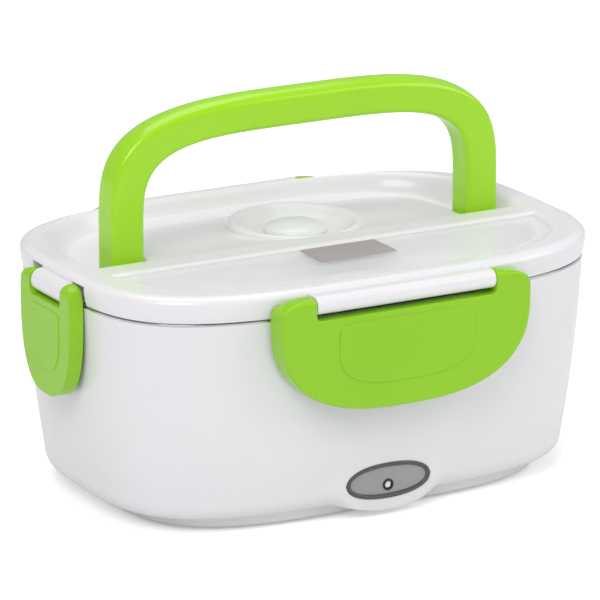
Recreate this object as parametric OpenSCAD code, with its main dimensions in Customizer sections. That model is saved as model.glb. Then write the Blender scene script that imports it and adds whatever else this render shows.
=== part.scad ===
// Electric lunch box, closed, with its carrying handle upright.
// Millimetres. X runs along the long side, the front is towards -Y, Z is up.
// The origin is the bottom centre of the box: the rubber feet stand on z = 0.

/* [Outline] */
// half length of the box at the seam under the lid
body_a = 113; // [100:0.5:130]
// half depth of the box at the seam under the lid
body_b = 77; // [65:0.5:95]
// squareness of the plan outline (2 is an ellipse, 8 nearly a rectangle)
corner_n = 3.45; // [2.5:0.05:6]
// height of the seam, where the container's flange lies on the housing
seam_z = 91.2; // [70:0.2:110]
// height of the lid's rim above the table
lid_top_z = 103.1; // [90:0.1:125]
// number of points round each plan outline
ring_n = 48; // [40:4:96]

/* [Housing] */
// thickness of the outer shell's wall
wall_t = 2.4; // [1.6:0.1:3.5]
// height of the shell's lower edge
skirt_z = 6.7; // [4:0.1:12]
// how far the wall leans in between the seam and the lower corner
draft_in = 10.5; // [4:0.1:16]
// half width of the oval lamp pod
pod_a = 24; // [18:0.5:32]
// half height of the oval lamp pod
pod_h = 11.8; // [9:0.1:16]
// distance of the pod's face from the box's centre
pod_y = 77; // [72:0.2:84]
// height of the pod's centre
pod_z = 15.4; // [12:0.1:22]

/* [Plinth] */
// half length of the base cover
plinth_a = 94.2; // [80:0.1:105]
// half depth of the base cover
plinth_b = 62.4; // [50:0.1:75]
// height of the base cover's underside
plinth_z = 0.8; // [0.4:0.1:3]
// radius of a rubber foot
foot_r = 7; // [4:0.5:10]
// distance of the feet from the centre along X
foot_x = 58; // [40:1:70]
// distance of the feet from the centre along Y
foot_y = 44; // [30:1:50]
// distance of the base screws from the centre along X
screw_x = 78; // [60:1:82]
// distance of the base screws from the centre along Y
screw_y = 24; // [10:1:30]
// radius of a base screw's shank
screw_r = 1.45; // [1:0.05:2.5]

/* [Container and heating] */
// thickness of the steel food container
pan_t = 0.8; // [0.5:0.1:1.5]
// height of the container's underside
pan_z = 30; // [24:0.5:40]
// how far the container's wall stands in from the housing's outline at the top
pan_in = 7.6; // [6:0.1:10]
// extra lean of the container's wall towards its floor
pan_draft = 8.6; // [4:0.1:14]
// thickness of the inner well liner
liner_t = 1.8; // [1.2:0.1:3]
// half length of the aluminium heating plate
plate_a = 66; // [40:1:80]
// half depth of the aluminium heating plate
plate_b = 42; // [25:1:50]
// length of the heating element
ptc_l = 60; // [35:1:80]
// depth of the heating element
ptc_w = 22; // [12:1:30]
// thickness of the heating element
ptc_t = 5.5; // [3:0.1:8]
// radius of the thermostat's can
stat_r = 8; // [5:0.5:10]

/* [Power inlet] */
// height of the inlet's centre
inlet_z = 17; // [14:0.5:30]
// radius of an inlet pin
pin_r = 1.2; // [0.8:0.05:2]
// distance between the two inlet pins
pin_gap = 8.6; // [6:0.1:12]
// length of the pins inside the inlet's well
pin_len = 9.4; // [7:0.1:14]
// half width of the inlet's flange
inlet_a = 16; // [12:0.5:22]
// half height of the inlet's flange
inlet_h = 9.5; // [7:0.5:12]
// distance of the inlet's face from the box's centre
inlet_y = 75; // [72:0.5:80]

/* [Lid] */
// thickness of the lid's top skin
lid_t = 2.2; // [1.5:0.1:3]
// half length of the two recesses in the lid
recess_a = 100; // [80:0.5:105]
// reach of the rear recess, where the handle folds down
rear_b = 74; // [60:0.5:76]
// reach of the front recess, where the spoon lies
front_b = 68; // [55:0.5:72]
// front edge of the ridge between the recesses
ridge_front = -21.5; // [-35:0.5:-15]
// rear edge of the ridge between the recesses
ridge_rear = -6; // [-12:0.5:0]
// floor of the spoon recess
spoon_floor_z = 90; // [88:0.2:96]
// top of the clear spoon cover
cover_z = 98; // [95:0.1:101]
// thickness of the clear spoon cover
cover_t = 1.5; // [1:0.1:2.5]
// width of the ledge that carries the spoon cover
cover_ledge = 3.2; // [2:0.1:5]
// gap all round the spoon cover
cover_gap = 0.4; // [0.2:0.05:1]

/* [Steam vent] */
// place of the vent along X
vent_x = 3; // [-10:0.5:10]
// place of the vent along Y
vent_y = 20; // [10:0.5:26]
// radius of the vent's round rim
vent_r = 27.5; // [20:0.5:30]
// height of the vent's rim
vent_rim_z = 102.6; // [100:0.1:106]
// height of the dish's floor
vent_floor_z = 96.4; // [94:0.1:100]
// radius of the bore in the dish
vent_bore_r = 4.05; // [3:0.05:6]
// radius of the valve's stem
valve_stem_r = 4; // [2.9:0.05:5.9]
// radius of the valve's domed cap
valve_r = 13.3; // [10:0.1:16]
// rise of the valve's dome
valve_crown = 3.7; // [2:0.1:5]

/* [Handle] */
// half width over the handle's two arms
grip_a = 91.9; // [80:0.1:97]
// width of an arm
arm_w = 14.8; // [10:0.1:20]
// half depth of the handle from front to back
grip_h = 5.7; // [4:0.1:8]
// height of the handle's top
grip_top_z = 162.3; // [140:0.1:180]
// height where the arms begin to bend
shoulder_z = 112; // [105:0.5:120]
// thickness of the carrying bar at its middle
bar_t = 12.5; // [9:0.1:16]
// crown of the bar's upper side
bar_crown = 2; // [0:0.1:4]
// place of the handle's axis along Y
grip_y = 2.3; // [-4:0.1:8]
// height of the handle's axis
grip_z = 97; // [95:0.1:99]
// radius of the handle's trunnions
trunnion_r = 3; // [2:0.05:4]
// length of the handle's trunnions
trunnion_l = 4.9; // [3:0.1:8]
// radial clearance of the trunnions in their lugs
trunnion_gap = 0.06; // [0.01:0.01:0.1]

/* [Latches] */
// half width of the front and rear latches
long_a = 60; // [45:0.5:70]
// half length of the lid's front and rear hinge bars
long_bar = 41.3; // [30:0.1:50]
// height of the front and rear hinge axes
long_z = 97.8; // [94:0.1:100]
// distance of the front and rear hinge axes from the centre
long_y = 82.4; // [80:0.1:90]
// height of a long latch's lower edge
long_low_z = 50.3; // [40:0.1:60]
// half width of the left and right latches
short_a = 29; // [20:0.5:40]
// half length of the lid's left and right hinge bars
short_bar = 14.3; // [8:0.1:25]
// height of the left and right hinge axes
short_z = 95.2; // [92:0.1:99]
// distance of the left and right hinge axes from the centre
short_x = 114.7; // [112:0.1:122]
// height of a short latch's lower edge
short_low_z = 49.3; // [40:0.1:60]
// radius of the ears round the hinge axis
ear_r = 4.7; // [3.5:0.1:6]
// radius of the lid's front and rear hinge bars
bar_r = 4.2; // [3:0.1:5.5]
// radius of the lid's left and right hinge bars
short_bar_r = 3; // [2.4:0.1:3]
// wall thickness of the latches
latch_t = 2.2; // [1.5:0.1:3]
// radius of the latch pegs
peg_r = 1.6; // [1:0.05:2.5]
// length of the latch pegs
peg_l = 3; // [2:0.1:5]
// radial clearance of the pegs in the bars
peg_gap = 0.06; // [0.01:0.01:0.1]
// gap between an ear and the end of its bar
ear_gap = 0.3; // [0.1:0.05:1]
// gap in plan between a latch's nose and the housing's catch
nose_gap = 0.2; // [0.1:0.05:1]

/* [Spoon] */
// length of the spoon
spoon_l = 128; // [100:1:160]
// half width of the spoon's bowl
bowl_w = 15; // [10:0.5:18]
// half length of the spoon's bowl
bowl_l = 23; // [15:0.5:30]

/* [Hidden] */
eps = 0.01;
lid_base_z = seam_z + 1.0;
lid_roof_z = lid_top_z - lid_t;
floor_slope = 0.1;
floor_z0 = grip_z - grip_h - 0.55;
pan_flange_z = seam_z + pan_t;
liner_z = pan_z - 3.5;
well_in = pan_in - 1.2;
pivot_gap = 0.3;
long_back = 2.4;
short_back = 1.2;
nose_drop = 17.3;
catch_long = long_y - long_back - nose_gap;
catch_short = short_x - short_back - nose_gap;
lamp_face = pod_y + 0.6;

// ---------- plan outlines ----------

// one superellipse ring, half sizes a and b, squareness n, at height z
function oval(a, b, n, z, count) = [
  for (i = [0:count - 1])
    let (t = 360 * i / count, c = cos(t), s = sin(t))
      [a * sign(c) * pow(abs(c), 2 / n), b * sign(s) * pow(abs(s), 2 / n), z]
];

// the box's own outline, moved inwards by d
function plan(d, z) = oval(body_a - d, body_b - d, corner_n, z, ring_n);

// start angle of the part of a superellipse that lies beyond the line y = y0
function cut_angle(y0, b, n) = sign(y0) * asin(pow(abs(y0 / b), n / 2));

// the outline's rear part beyond y0, its height rising with y by the slope
function rear_ring(a, b, y0, z, slope, count) =
  let (t0 = cut_angle(y0, b, corner_n))
    [
      for (i = [0:count - 1])
        let (t = t0 + (180 - 2 * t0) * i / (count - 1), c = cos(t), s = sin(t),
             y = b * sign(s) * pow(abs(s), 2 / corner_n))
          [a * sign(c) * pow(abs(c), 2 / corner_n), y, z + slope * (y - grip_y)]
    ];

// the outline's front part before y0
function front_ring(a, b, y0, z, count) =
  let (t0 = cut_angle(-y0, b, corner_n))
    [
      for (i = [0:count - 1])
        let (t = 180 + t0 + (180 - 2 * t0) * i / (count - 1), c = cos(t), s = sin(t))
          [
            a * sign(c) * pow(abs(c), 2 / corner_n),
            b * sign(s) * pow(abs(s), 2 / corner_n),
            z
          ]
    ];

// a skin over a stack of rings; a loop joins the last ring to the first
module skin(rings, loop = false) {
  m = len(rings);
  n = len(rings[0]);
  last = loop ? m - 1 : m - 2;
  walls = [
    for (j = [0:last], i = [0:n - 1])
      let (a = j * n + i, b = j * n + (i + 1) % n,
           c = ((j + 1) % m) * n + (i + 1) % n, d = ((j + 1) % m) * n + i)
        each [[a, c, b], [a, d, c]]
  ];
  caps = loop ? [] : [[for (i = [0:n - 1]) i], [for (i = [n - 1:-1:0]) (m - 1) * n + i]];
  polyhedron(points = [for (r = rings) each r], faces = concat(walls, caps), convexity = 8);
}

// a cylinder along X, centred on its middle
module rod_x(r, length, facets = 32) {
  rotate([0, 90, 0])
    cylinder(r = r, h = length, center = true, $fn = facets);
}

// a cylinder along Y, from y0 towards +Y
module rod_y(r, length, facets = 32) {
  rotate([-90, 0, 0])
    cylinder(r = r, h = length, $fn = facets);
}

// the four mirrored places of a part at +x, +y
module four(x, y) {
  for (i = [-1, 1], j = [-1, 1])
    translate([i * x, j * y, 0])
      children();
}

// a block from its low corner to its high corner
module block(lo, hi) {
  translate(lo)
    cube([hi[0] - lo[0], hi[1] - lo[1], hi[2] - lo[2]]);
}

// ---------- housing and what it holds ----------

// how far the housing's wall stands in from the seam outline at height z
function lean(z) =
  let (k = (seam_z - z) / (seam_z - 14.5))
    8 * (0.45 * k + 0.55 * k * k) * draft_in / 10.5;

module shell_wall() {
  skin([
    plan(0, seam_z),
    plan(wall_t, seam_z),
    plan(wall_t, seam_z - 2.8),
    plan(wall_t + 1.9, seam_z - 2.8),
    plan(wall_t + 1.9, seam_z - 4),
    plan(wall_t + lean(seam_z - 8), seam_z - 8),
    plan(wall_t + lean(64), 64),
    plan(wall_t + lean(42), 42),
    plan(wall_t + lean(26), 26),
    plan(wall_t + lean(14.5), 14.5),
    plan(draft_in + 2.2, skirt_z + wall_t),
    oval(plinth_a - 3.8, plinth_b - 3.8, corner_n, skirt_z + wall_t, ring_n),
    oval(plinth_a - 3.8, plinth_b - 3.8, corner_n, skirt_z, ring_n),
    plan(draft_in + 2.2, skirt_z),
    plan(draft_in + 0.4, skirt_z + 0.5),
    plan(draft_in - 1, skirt_z + 2),
    plan(draft_in - 1.8, skirt_z + 4.2),
    plan(lean(14.5), 14.5),
    plan(lean(20), 20),
    plan(lean(28), 28),
    plan(lean(40), 40),
    plan(lean(55), 55),
    plan(lean(72), 72),
    plan(lean(84), 84)
  ], loop = true);
}

// an oval boss that stands out towards +Z of its own frame
module oval_boss(a, h, n, low, high) {
  skin([
    oval(a + 2.6, h + 1.4, n, low, 40),
    oval(a + 0.6, h + 0.4, n, high - 2.4, 40),
    oval(a, h, n, high - 1, 40),
    oval(a - 0.9, h - 0.9, n, high - 0.2, 40),
    oval(a - 2, h - 2, n, high, 40)
  ]);
}

module housing() {
  color([0.91, 0.91, 0.92])
    difference() {
      union() {
        shell_wall();
        // lamp pod on the front, dropping over the plinth
        translate([0, 0, pod_z])
          rotate([90, 0, 0])
            oval_boss(pod_a, pod_h, 2.2, 64.4, pod_y);
        // flat pad for the power inlet at the rear
        translate([0, 0, inlet_z])
          rotate([-90, 0, 0])
            oval_boss(inlet_a + 3, inlet_h + 3, 3.4, 64.4, inlet_y - 1.4);
        // catch ribs under the four latches
        for (i = [-1, 1]) {
          block([-30, min(i * catch_long, i * (body_b - 2)), seam_z - 9],
                [30, max(i * catch_long, i * (body_b - 2)), seam_z - 6]);
          block([min(i * catch_short, i * (body_a - 2)), -12, seam_z - 11.4],
                [max(i * catch_short, i * (body_a - 2)), 12, seam_z - 8.4]);
        }
      }
      // seat of the lamp's oval bezel and the way through to the lamp board
      translate([0, 0, pod_z])
        rotate([90, 0, 0])
          skin([
            oval(20.7, 8.3, 2.2, pod_y - 3.2, 40),
            oval(20.7, 8.3, 2.2, pod_y + 2, 40)
          ]);
      block([-15, -pod_y + 2.6, pod_z - 5.2], [15, -60, pod_z + 5.2]);
      // way through for the power inlet
      block([-inlet_a + 2.8, 60, inlet_z - inlet_h + 2.8],
            [inlet_a - 2.8, inlet_y + 2, inlet_z + inlet_h - 2.8]);
    }
}

module well_liner() {
  color([0.83, 0.83, 0.82])
    difference() {
      union() {
        skin([
          plan(well_in + pan_draft + 3, liner_z),
          plan(well_in + pan_draft - liner_t - 0.2, liner_z + 5.4),
          plan(well_in - liner_t, seam_z - 2.8),
          plan(wall_t + 0.2, seam_z - 2.8),
          plan(wall_t + 0.2, seam_z - 0.3),
          plan(well_in, seam_z - 0.3),
          plan(well_in + pan_draft - 0.2, liner_z + 6),
          plan(well_in + pan_draft + 4, liner_z + 2)
        ]);
        four(screw_x, screw_y)
          translate([0, 0, skirt_z + wall_t + 0.1])
            cylinder(r = 4, h = liner_z - skirt_z - wall_t + 0.4, $fn = 32);
      }
      // opening for the heating plate's block
      block([-plate_a + 6, -plate_b + 4, liner_z - 1], [plate_a - 6, plate_b - 4, liner_z + 3]);
      four(screw_x, screw_y)
        translate([0, 0, skirt_z])
          cylinder(r = screw_r + 0.05, h = 13, $fn = 32);
    }
}

module base_cover() {
  color([0.79, 0.8, 0.8])
    difference() {
      union() {
        skin([
          oval(plinth_a - 2.4, plinth_b - 2.4, corner_n, plinth_z, ring_n),
          oval(plinth_a - 1, plinth_b - 1, corner_n, plinth_z + 0.9, ring_n),
          oval(plinth_a, plinth_b, corner_n, skirt_z, ring_n),
          oval(plinth_a - 4.1, plinth_b - 4.1, corner_n, skirt_z, ring_n),
          oval(plinth_a - 4.1, plinth_b - 4.1, corner_n, skirt_z + 2, ring_n),
          oval(plinth_a - 5.9, plinth_b - 5.9, corner_n, skirt_z + 2, ring_n),
          oval(plinth_a - 5.9, plinth_b - 5.9, corner_n, plinth_z + 2.4, ring_n)
        ]);
        four(screw_x, screw_y)
          translate([0, 0, plinth_z + 1])
            cylinder(r = 4.6, h = skirt_z + wall_t - plinth_z - 1, $fn = 32);
        // stiffening ribs
        block([-70, -0.8, plinth_z + 2], [70, 0.8, plinth_z + 4.6]);
        block([-30, -50, plinth_z + 2], [-28.4, 50, plinth_z + 4.6]);
        block([28.4, -50, plinth_z + 2], [30, 50, plinth_z + 4.6]);
      }
      four(screw_x, screw_y) {
        translate([0, 0, plinth_z - 1])
          cylinder(r = screw_r + 0.25, h = 12, $fn = 32);
        translate([0, 0, plinth_z - 1])
          cylinder(r = 3.3, h = 3.2, $fn = 32);
      }
      four(foot_x, foot_y)
        translate([0, 0, plinth_z - 1])
          cylinder(r = foot_r + 0.1, h = 2.2, $fn = 32);
    }
}

module rubber_feet() {
  color([0.16, 0.16, 0.17])
    four(foot_x, foot_y) {
      cylinder(r1 = foot_r - 0.6, r2 = foot_r, h = 0.6, $fn = 32);
      translate([0, 0, 0.6])
        cylinder(r = foot_r, h = plinth_z + 0.6, $fn = 32);
    }
}

module base_screws() {
  color([0.7, 0.7, 0.72])
    four(screw_x, screw_y)
      difference() {
        union() {
          translate([0, 0, plinth_z + 0.7])
            cylinder(r = 2.9, h = 1.5, $fn = 32);
          translate([0, 0, plinth_z + 2.1])
            cylinder(r = screw_r, h = 16, $fn = 24);
        }
        // cross recess in the head
        for (q = [0, 90])
          rotate([0, 0, q])
            block([-1.6, -0.3, plinth_z], [1.6, 0.3, plinth_z + 1.6]);
      }
}

module heating_plate() {
  color([0.78, 0.79, 0.81])
    difference() {
      union() {
        skin([
          oval(plate_a, plate_b, 5, pan_z - 1.5, 40),
          oval(plate_a, plate_b, 5, pan_z - 0.3, 40),
          oval(plate_a - 0.3, plate_b - 0.3, 5, pan_z, 40)
        ]);
        block([-plate_a + 6.4, -plate_b + 4.4, liner_z - 0.5],
              [plate_a - 6.4, plate_b - 4.4, pan_z - 1]);
      }
      // blind holes for the clamp screws
      for (i = [-1, 1])
        translate([i * (ptc_l / 2 + 8), 0, liner_z - 1])
          cylinder(r = 1.5, h = 3, $fn = 24);
    }
}

module ptc_heater() {
  color([0.72, 0.7, 0.66])
    union() {
      block([-ptc_l / 2, -ptc_w / 2, liner_z - 0.5 - ptc_t],
            [ptc_l / 2, ptc_w / 2, liner_z - 0.5]);
      // two terminal tabs
      for (i = [-1, 1])
        block([ptc_l / 2 - 1, i * 5 - 2, liner_z - 3.6], [ptc_l / 2 + 5, i * 5 + 2, liner_z - 2.8]);
    }
}

module heater_clamp() {
  low = liner_z - 0.5 - ptc_t;
  band_y = ptc_w / 2 - 1.9;
  color([0.75, 0.75, 0.76])
    difference() {
      union() {
        // two bands under the heater, beside its terminal tabs
        for (j = [-1, 1]) {
          block([-ptc_l / 2 - 1.6, j * band_y - 1.5, low - 1], [ptc_l / 2 + 1.6, j * band_y + 1.5, low]);
          for (i = [-1, 1])
            block([i * (ptc_l / 2 + 1.1) - 0.5, j * band_y - 1.5, low - 1],
                  [i * (ptc_l / 2 + 1.1) + 0.5, j * band_y + 1.5, liner_z - 0.5]);
        }
        for (i = [-1, 1])
          block([i * (ptc_l / 2 + 6.3) - 5.7, -band_y - 1.5, liner_z - 1.5],
                [i * (ptc_l / 2 + 6.3) + 5.7, band_y + 1.5, liner_z - 0.5]);
      }
      for (i = [-1, 1])
        translate([i * (ptc_l / 2 + 8), 0, liner_z - 3])
          cylinder(r = 1.7, h = 4, $fn = 24);
    }
}

module clamp_screws() {
  color([0.68, 0.68, 0.7])
    for (i = [-1, 1])
      translate([i * (ptc_l / 2 + 8), 0, 0]) {
        translate([0, 0, liner_z - 3.3])
          cylinder(r = 2.7, h = 1.8, $fn = 32);
        translate([0, 0, liner_z - 2])
          cylinder(r = 1.45, h = 3.6, $fn = 24);
      }
}

module thermostat() {
  color([0.2, 0.2, 0.21])
    translate([0, plate_b - 15, 0])
      union() {
        translate([0, 0, liner_z - 2.1])
          cylinder(r = stat_r, h = 1.6, $fn = 40);
        translate([0, 0, liner_z - 8.5])
          cylinder(r = stat_r - 0.8, h = 6.5, $fn = 40);
        for (i = [-1, 1])
          block([i * 4.6 - 0.4, -2.4, liner_z - 14], [i * 4.6 + 0.4, 2.4, liner_z - 8.4]);
      }
}

module thermal_fuse() {
  color([0.85, 0.83, 0.76])
    translate([0, -plate_b + 14, liner_z - 2.7])
      union() {
        rod_x(2.1, 16, 24);
        rod_x(0.5, 34, 12);
      }
}

module inlet_body() {
  color([0.13, 0.13, 0.14])
    translate([0, 0, inlet_z])
      difference() {
        union() {
          rotate([-90, 0, 0])
            skin([
              oval(inlet_a, inlet_h, 5, inlet_y - 1.4, 40),
              oval(inlet_a, inlet_h, 5, inlet_y - 0.5, 40),
              oval(inlet_a - 0.5, inlet_h - 0.5, 5, inlet_y, 40)
            ]);
          block([-inlet_a + 3, inlet_y - 15, -inlet_h + 3], [inlet_a - 3, inlet_y - 1, inlet_h - 3]);
        }
        // the well: two round ends joined
        for (i = [-1, 1])
          translate([i * pin_gap / 2, inlet_y - 12, 0])
            rod_y(4.7, 14, 40);
        block([-pin_gap / 2, inlet_y - 12, -3.6], [pin_gap / 2, inlet_y + 1, 3.6]);
        for (i = [-1, 1])
          translate([i * pin_gap / 2, inlet_y - 18, 0])
            rod_y(pin_r + 0.42, 8, 24);
      }
}

module inlet_pins() {
  color([0.82, 0.81, 0.78])
    for (i = [-1, 1])
      translate([i * pin_gap / 2, inlet_y - 19, inlet_z]) {
        rod_y(pin_r + 0.4, 7, 32);
        translate([0, 6.9, 0])
          rod_y(pin_r, pin_len + 0.1, 32);
        translate([0, 7 + pin_len, 0])
          rotate([-90, 0, 0])
            cylinder(r1 = pin_r, r2 = pin_r - 0.5, h = 0.8, $fn = 32);
      }
}

// ---------- wiring ----------

// a round lead through a list of points
module lead(pts, r) {
  n = 8;
  last = len(pts) - 1;
  dirs = [for (i = [0:last]) pts[min(i + 1, last)] - pts[max(i - 1, 0)]];
  skin([
    for (i = [0:last])
      let (d = dirs[i] / norm(dirs[i]), u0 = cross(d, [0.31, 0.17, 0.93]),
           u = u0 / norm(u0), v = cross(d, u))
        [for (k = [0:n - 1]) pts[i] + r * (cos(360 * k / n) * u + sin(360 * k / n) * v)]
  ]);
}

module lead_wires() {
  tab_x = ptc_l / 2 + 5.6;
  stat_y = plate_b - 15;
  pin_x = pin_gap / 2;
  rear = inlet_y - 19.2;
  color([0.75, 0.2, 0.16]) {
    lead([
      [tab_x, 5, liner_z - 3.2], [tab_x + 6, 7, liner_z - 7], [tab_x + 8, 18, 15],
      [tab_x - 4, 36, 13.5], [20, 47, 14], [pin_x, 50, inlet_z], [pin_x, rear, inlet_z]
    ], 0.9);
    lead([
      [4.6, stat_y + 3.4, liner_z - 12], [4.6, stat_y + 8, 13.8], [1, stat_y + 16, 13.2],
      [-pin_x, rear - 8, inlet_z - 1], [-pin_x, rear, inlet_z]
    ], 0.9);
    lead([
      [-4.6, stat_y - 3.4, liner_z - 12], [-8, stat_y - 8, 13], [-22, 6, 12.6],
      [-26, -20, 14], [-17.5, -plate_b + 14, liner_z - 2.7]
    ], 0.9);
    lead([
      [17.5, -plate_b + 14, liner_z - 2.7], [26, -26, 18], [44, -14, 15.5],
      [tab_x + 4, -8, 19], [tab_x, -5, liner_z - 3.2]
    ], 0.9);
    // two thin leads to the lamp board
    lead([[3, -pod_y + 9.4, pod_z], [6, -56, pod_z - 1], [12, -45, 12.5], [30, -38, 13]], 0.6);
    lead([[-3, -pod_y + 9.4, pod_z], [-6, -56, pod_z - 1], [-12, -45, 12.5], [-30, -38, 13]], 0.6);
  }
}

// ---------- lamp ----------

module lamp_bezel() {
  color([0.22, 0.22, 0.23])
    translate([0, 0, pod_z])
      rotate([90, 0, 0])
        skin([
          oval(20.5, 8.1, 2.2, pod_y - 3.1, 48),
          oval(20.5, 8.1, 2.2, pod_y - 0.1, 48),
          oval(20.1, 7.7, 2.2, lamp_face, 48),
          oval(19.2, 6.8, 2.2, lamp_face, 48),
          oval(18.7, 6.3, 2.2, pod_y - 0.3, 48),
          oval(17.6, 5.2, 2.2, pod_y - 3.1, 48)
        ], loop = true);
}

module lamp_plate() {
  color([0.42, 0.43, 0.44])
    translate([0, 0, pod_z])
      difference() {
        rotate([90, 0, 0])
          skin([
            oval(17.4, 5, 2.2, pod_y - 2.9, 48),
            oval(18.4, 6, 2.2, pod_y - 0.3, 48)
          ]);
        translate([0, -pod_y - 1, -2])
          rod_y(2.05, 6, 32);
      }
}

module lamp_ring() {
  color([0.06, 0.06, 0.06])
    translate([0, -pod_y, pod_z - 2])
      difference() {
        union() {
          translate([0, 0.1, 0])
            rod_y(2, 3.4, 32);
        }
        translate([0, -1, 0])
          rod_y(1.53, 6, 32);
      }
}

module lamp_led() {
  color([0.95, 0.95, 0.93])
    translate([0, -pod_y, pod_z - 2]) {
      translate([0, 0.6, 0])
        rod_y(1.5, 6, 32);
      translate([0, 0.6, 0])
        sphere(r = 1.5, $fn = 24);
    }
}

module led_board() {
  color([0.1, 0.35, 0.2])
    union() {
      block([-9, -pod_y + 6.8, pod_z - 4.8], [9, -pod_y + 8.4, pod_z + 4.8]);
      // series resistor
      translate([5, -pod_y + 9.2, pod_z + 2.6])
        rod_x(0.9, 5, 16);
    }
}

// ---------- container ----------

module food_container() {
  rim = pan_in;
  foot = pan_in + pan_draft;
  color([0.76, 0.77, 0.78])
    skin([
      plan(foot + 5.4, pan_z),
      plan(foot + 2, pan_z + 0.9),
      plan(foot + 0.4, pan_z + 4),
      plan(foot - 0.3, pan_z + 9),
      plan(rim + 0.1, seam_z - 1),
      plan(rim - 0.9, seam_z),
      plan(0.15, seam_z),
      plan(0.15, pan_flange_z),
      plan(rim - 0.3, pan_flange_z),
      plan(rim + pan_t + 0.1, seam_z - 1),
      plan(foot + pan_t - 0.3, pan_z + 9.2),
      plan(foot + pan_t + 0.4, pan_z + 4.4),
      plan(foot + pan_t + 2, pan_z + 1.6),
      plan(foot + pan_t + 5.2, pan_z + pan_t)
    ]);
}

// ---------- lid ----------

module lid_cap() {
  skin([
    plan(9.5, lid_roof_z),
    plan(wall_t + 0.4, lid_roof_z),
    plan(wall_t, lid_roof_z - 1),
    plan(wall_t, lid_base_z),
    plan(0.6, lid_base_z),
    plan(0.05, lid_base_z + 0.7),
    plan(-0.65, lid_base_z + 3.4),
    plan(-1.1, lid_base_z + 6.4),
    plan(-1.1, lid_top_z - 2.6),
    plan(-0.75, lid_top_z - 1.6),
    plan(0.1, lid_top_z - 0.7),
    plan(1.4, lid_top_z - 0.15),
    plan(3, lid_top_z),
    plan(9.5, lid_top_z)
  ]);
}

// the rear recess, grown by g all round and lowered by g
module rear_recess(g, top) {
  count = 44;
  y0 = ridge_rear - g;
  skin([
    rear_ring(recess_a - 3 + g, rear_b - 3 + g, y0 + 1, floor_z0 - g, floor_slope, count),
    rear_ring(recess_a - 0.8 + g, rear_b - 0.8 + g, y0 + 0.2, floor_z0 - g + 1, floor_slope, count),
    rear_ring(recess_a + g, rear_b + g, y0, floor_z0 - g + 3.4, floor_slope, count),
    rear_ring(recess_a + g, rear_b + g, y0, top - 1.7, 0, count),
    rear_ring(recess_a + g + 0.4, rear_b + g + 0.4, y0 - 0.4, top - 0.6, 0, count),
    rear_ring(recess_a + g + 1.5, rear_b + g + 1.5, y0 - 1.5, top + 0.2, 0, count)
  ]);
}

// the front recess down to the ledge of the spoon cover
module front_recess(g, low, top) {
  count = 36;
  y0 = ridge_front + g;
  skin([
    front_ring(recess_a - 1 + g, front_b + g, y0, low - g, count),
    front_ring(recess_a - 1 + g, front_b + g, y0, top - 1.7, count),
    front_ring(recess_a - 0.6 + g, front_b + g + 0.4, y0 + 0.4, top - 0.6, count),
    front_ring(recess_a + 0.5 + g, front_b + g + 1.5, y0 + 1.5, top + 0.2, count)
  ]);
}

// the spoon's own hollow below the ledge
module spoon_hollow(g) {
  d = cover_ledge + 2.4;
  skin([
    front_ring(recess_a - d - 2 + g, front_b - d - 1 + g, ridge_front - cover_ledge - 1 + g,
               spoon_floor_z - g, 36),
    front_ring(recess_a - d + g, front_b - d + 1 + g, ridge_front - cover_ledge + g,
               spoon_floor_z - g + 2, 36),
    front_ring(recess_a - d + g, front_b - d + 1 + g, ridge_front - cover_ledge + g,
               cover_z, 36)
  ]);
}

// the round collar and dish of the steam vent
module vent_collar() {
  translate([vent_x, vent_y, 0])
    rotate_extrude($fn = 60)
      polygon([
        [0, floor_z0 - 1.6], [vent_r + 1.2, floor_z0 - 1.6], [vent_r + 1.2, vent_rim_z - 3],
        [vent_r + 0.6, vent_rim_z - 0.8], [vent_r - 0.6, vent_rim_z], [vent_r - 2, vent_rim_z - 0.2],
        [vent_r - 4.5, vent_rim_z - 2.4], [vent_r - 8, vent_floor_z + 1], [vent_r - 11, vent_floor_z],
        [0, vent_floor_z]
      ]);
}

// the hollow under the dish, open to the inside of the lid
module vent_hollow() {
  translate([vent_x, vent_y, 0])
    rotate_extrude($fn = 60)
      polygon([
        [0, floor_z0 - 8], [vent_r - 1, floor_z0 - 8], [vent_r - 1, vent_rim_z - 4.6],
        [vent_r - 3.4, vent_rim_z - 4.6], [vent_r - 9.4, vent_floor_z - 2], [0, vent_floor_z - 2]
      ]);
}

// lug that carries one of the handle's trunnions
module grip_lug(side) {
  x0 = grip_a - arm_w - pivot_gap - 5;
  translate([side * (x0 + 2.5), grip_y, grip_z]) {
    rod_x(4.6, 5, 40);
    block([-2.5, -4.6, -grip_h - 2], [2.5, 4.6, 0]);
  }
}

// one hinge bar for a long latch, with its web to the lid; side is -1 front, 1 rear
module long_bar_on(side) {
  translate([0, side * long_y, long_z])
    rod_x(bar_r, 2 * long_bar, 40);
  y0 = min(side * (body_b - 1.5), side * long_y);
  y1 = max(side * (body_b - 1.5), side * long_y);
  block([-long_bar, y0, long_z - bar_r], [long_bar, y1, long_z + bar_r]);
}

// one hinge bar for a short latch; side is -1 left, 1 right
module short_bar_on(side) {
  translate([side * short_x, 0, short_z])
    rotate([0, 0, 90])
      rod_x(short_bar_r, 2 * short_bar, 40);
  x0 = min(side * (body_a - 6), side * short_x);
  x1 = max(side * (body_a - 6), side * short_x);
  block([x0, -short_bar, lid_base_z + 0.7], [x1, short_bar, short_z + short_bar_r]);
}

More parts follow.
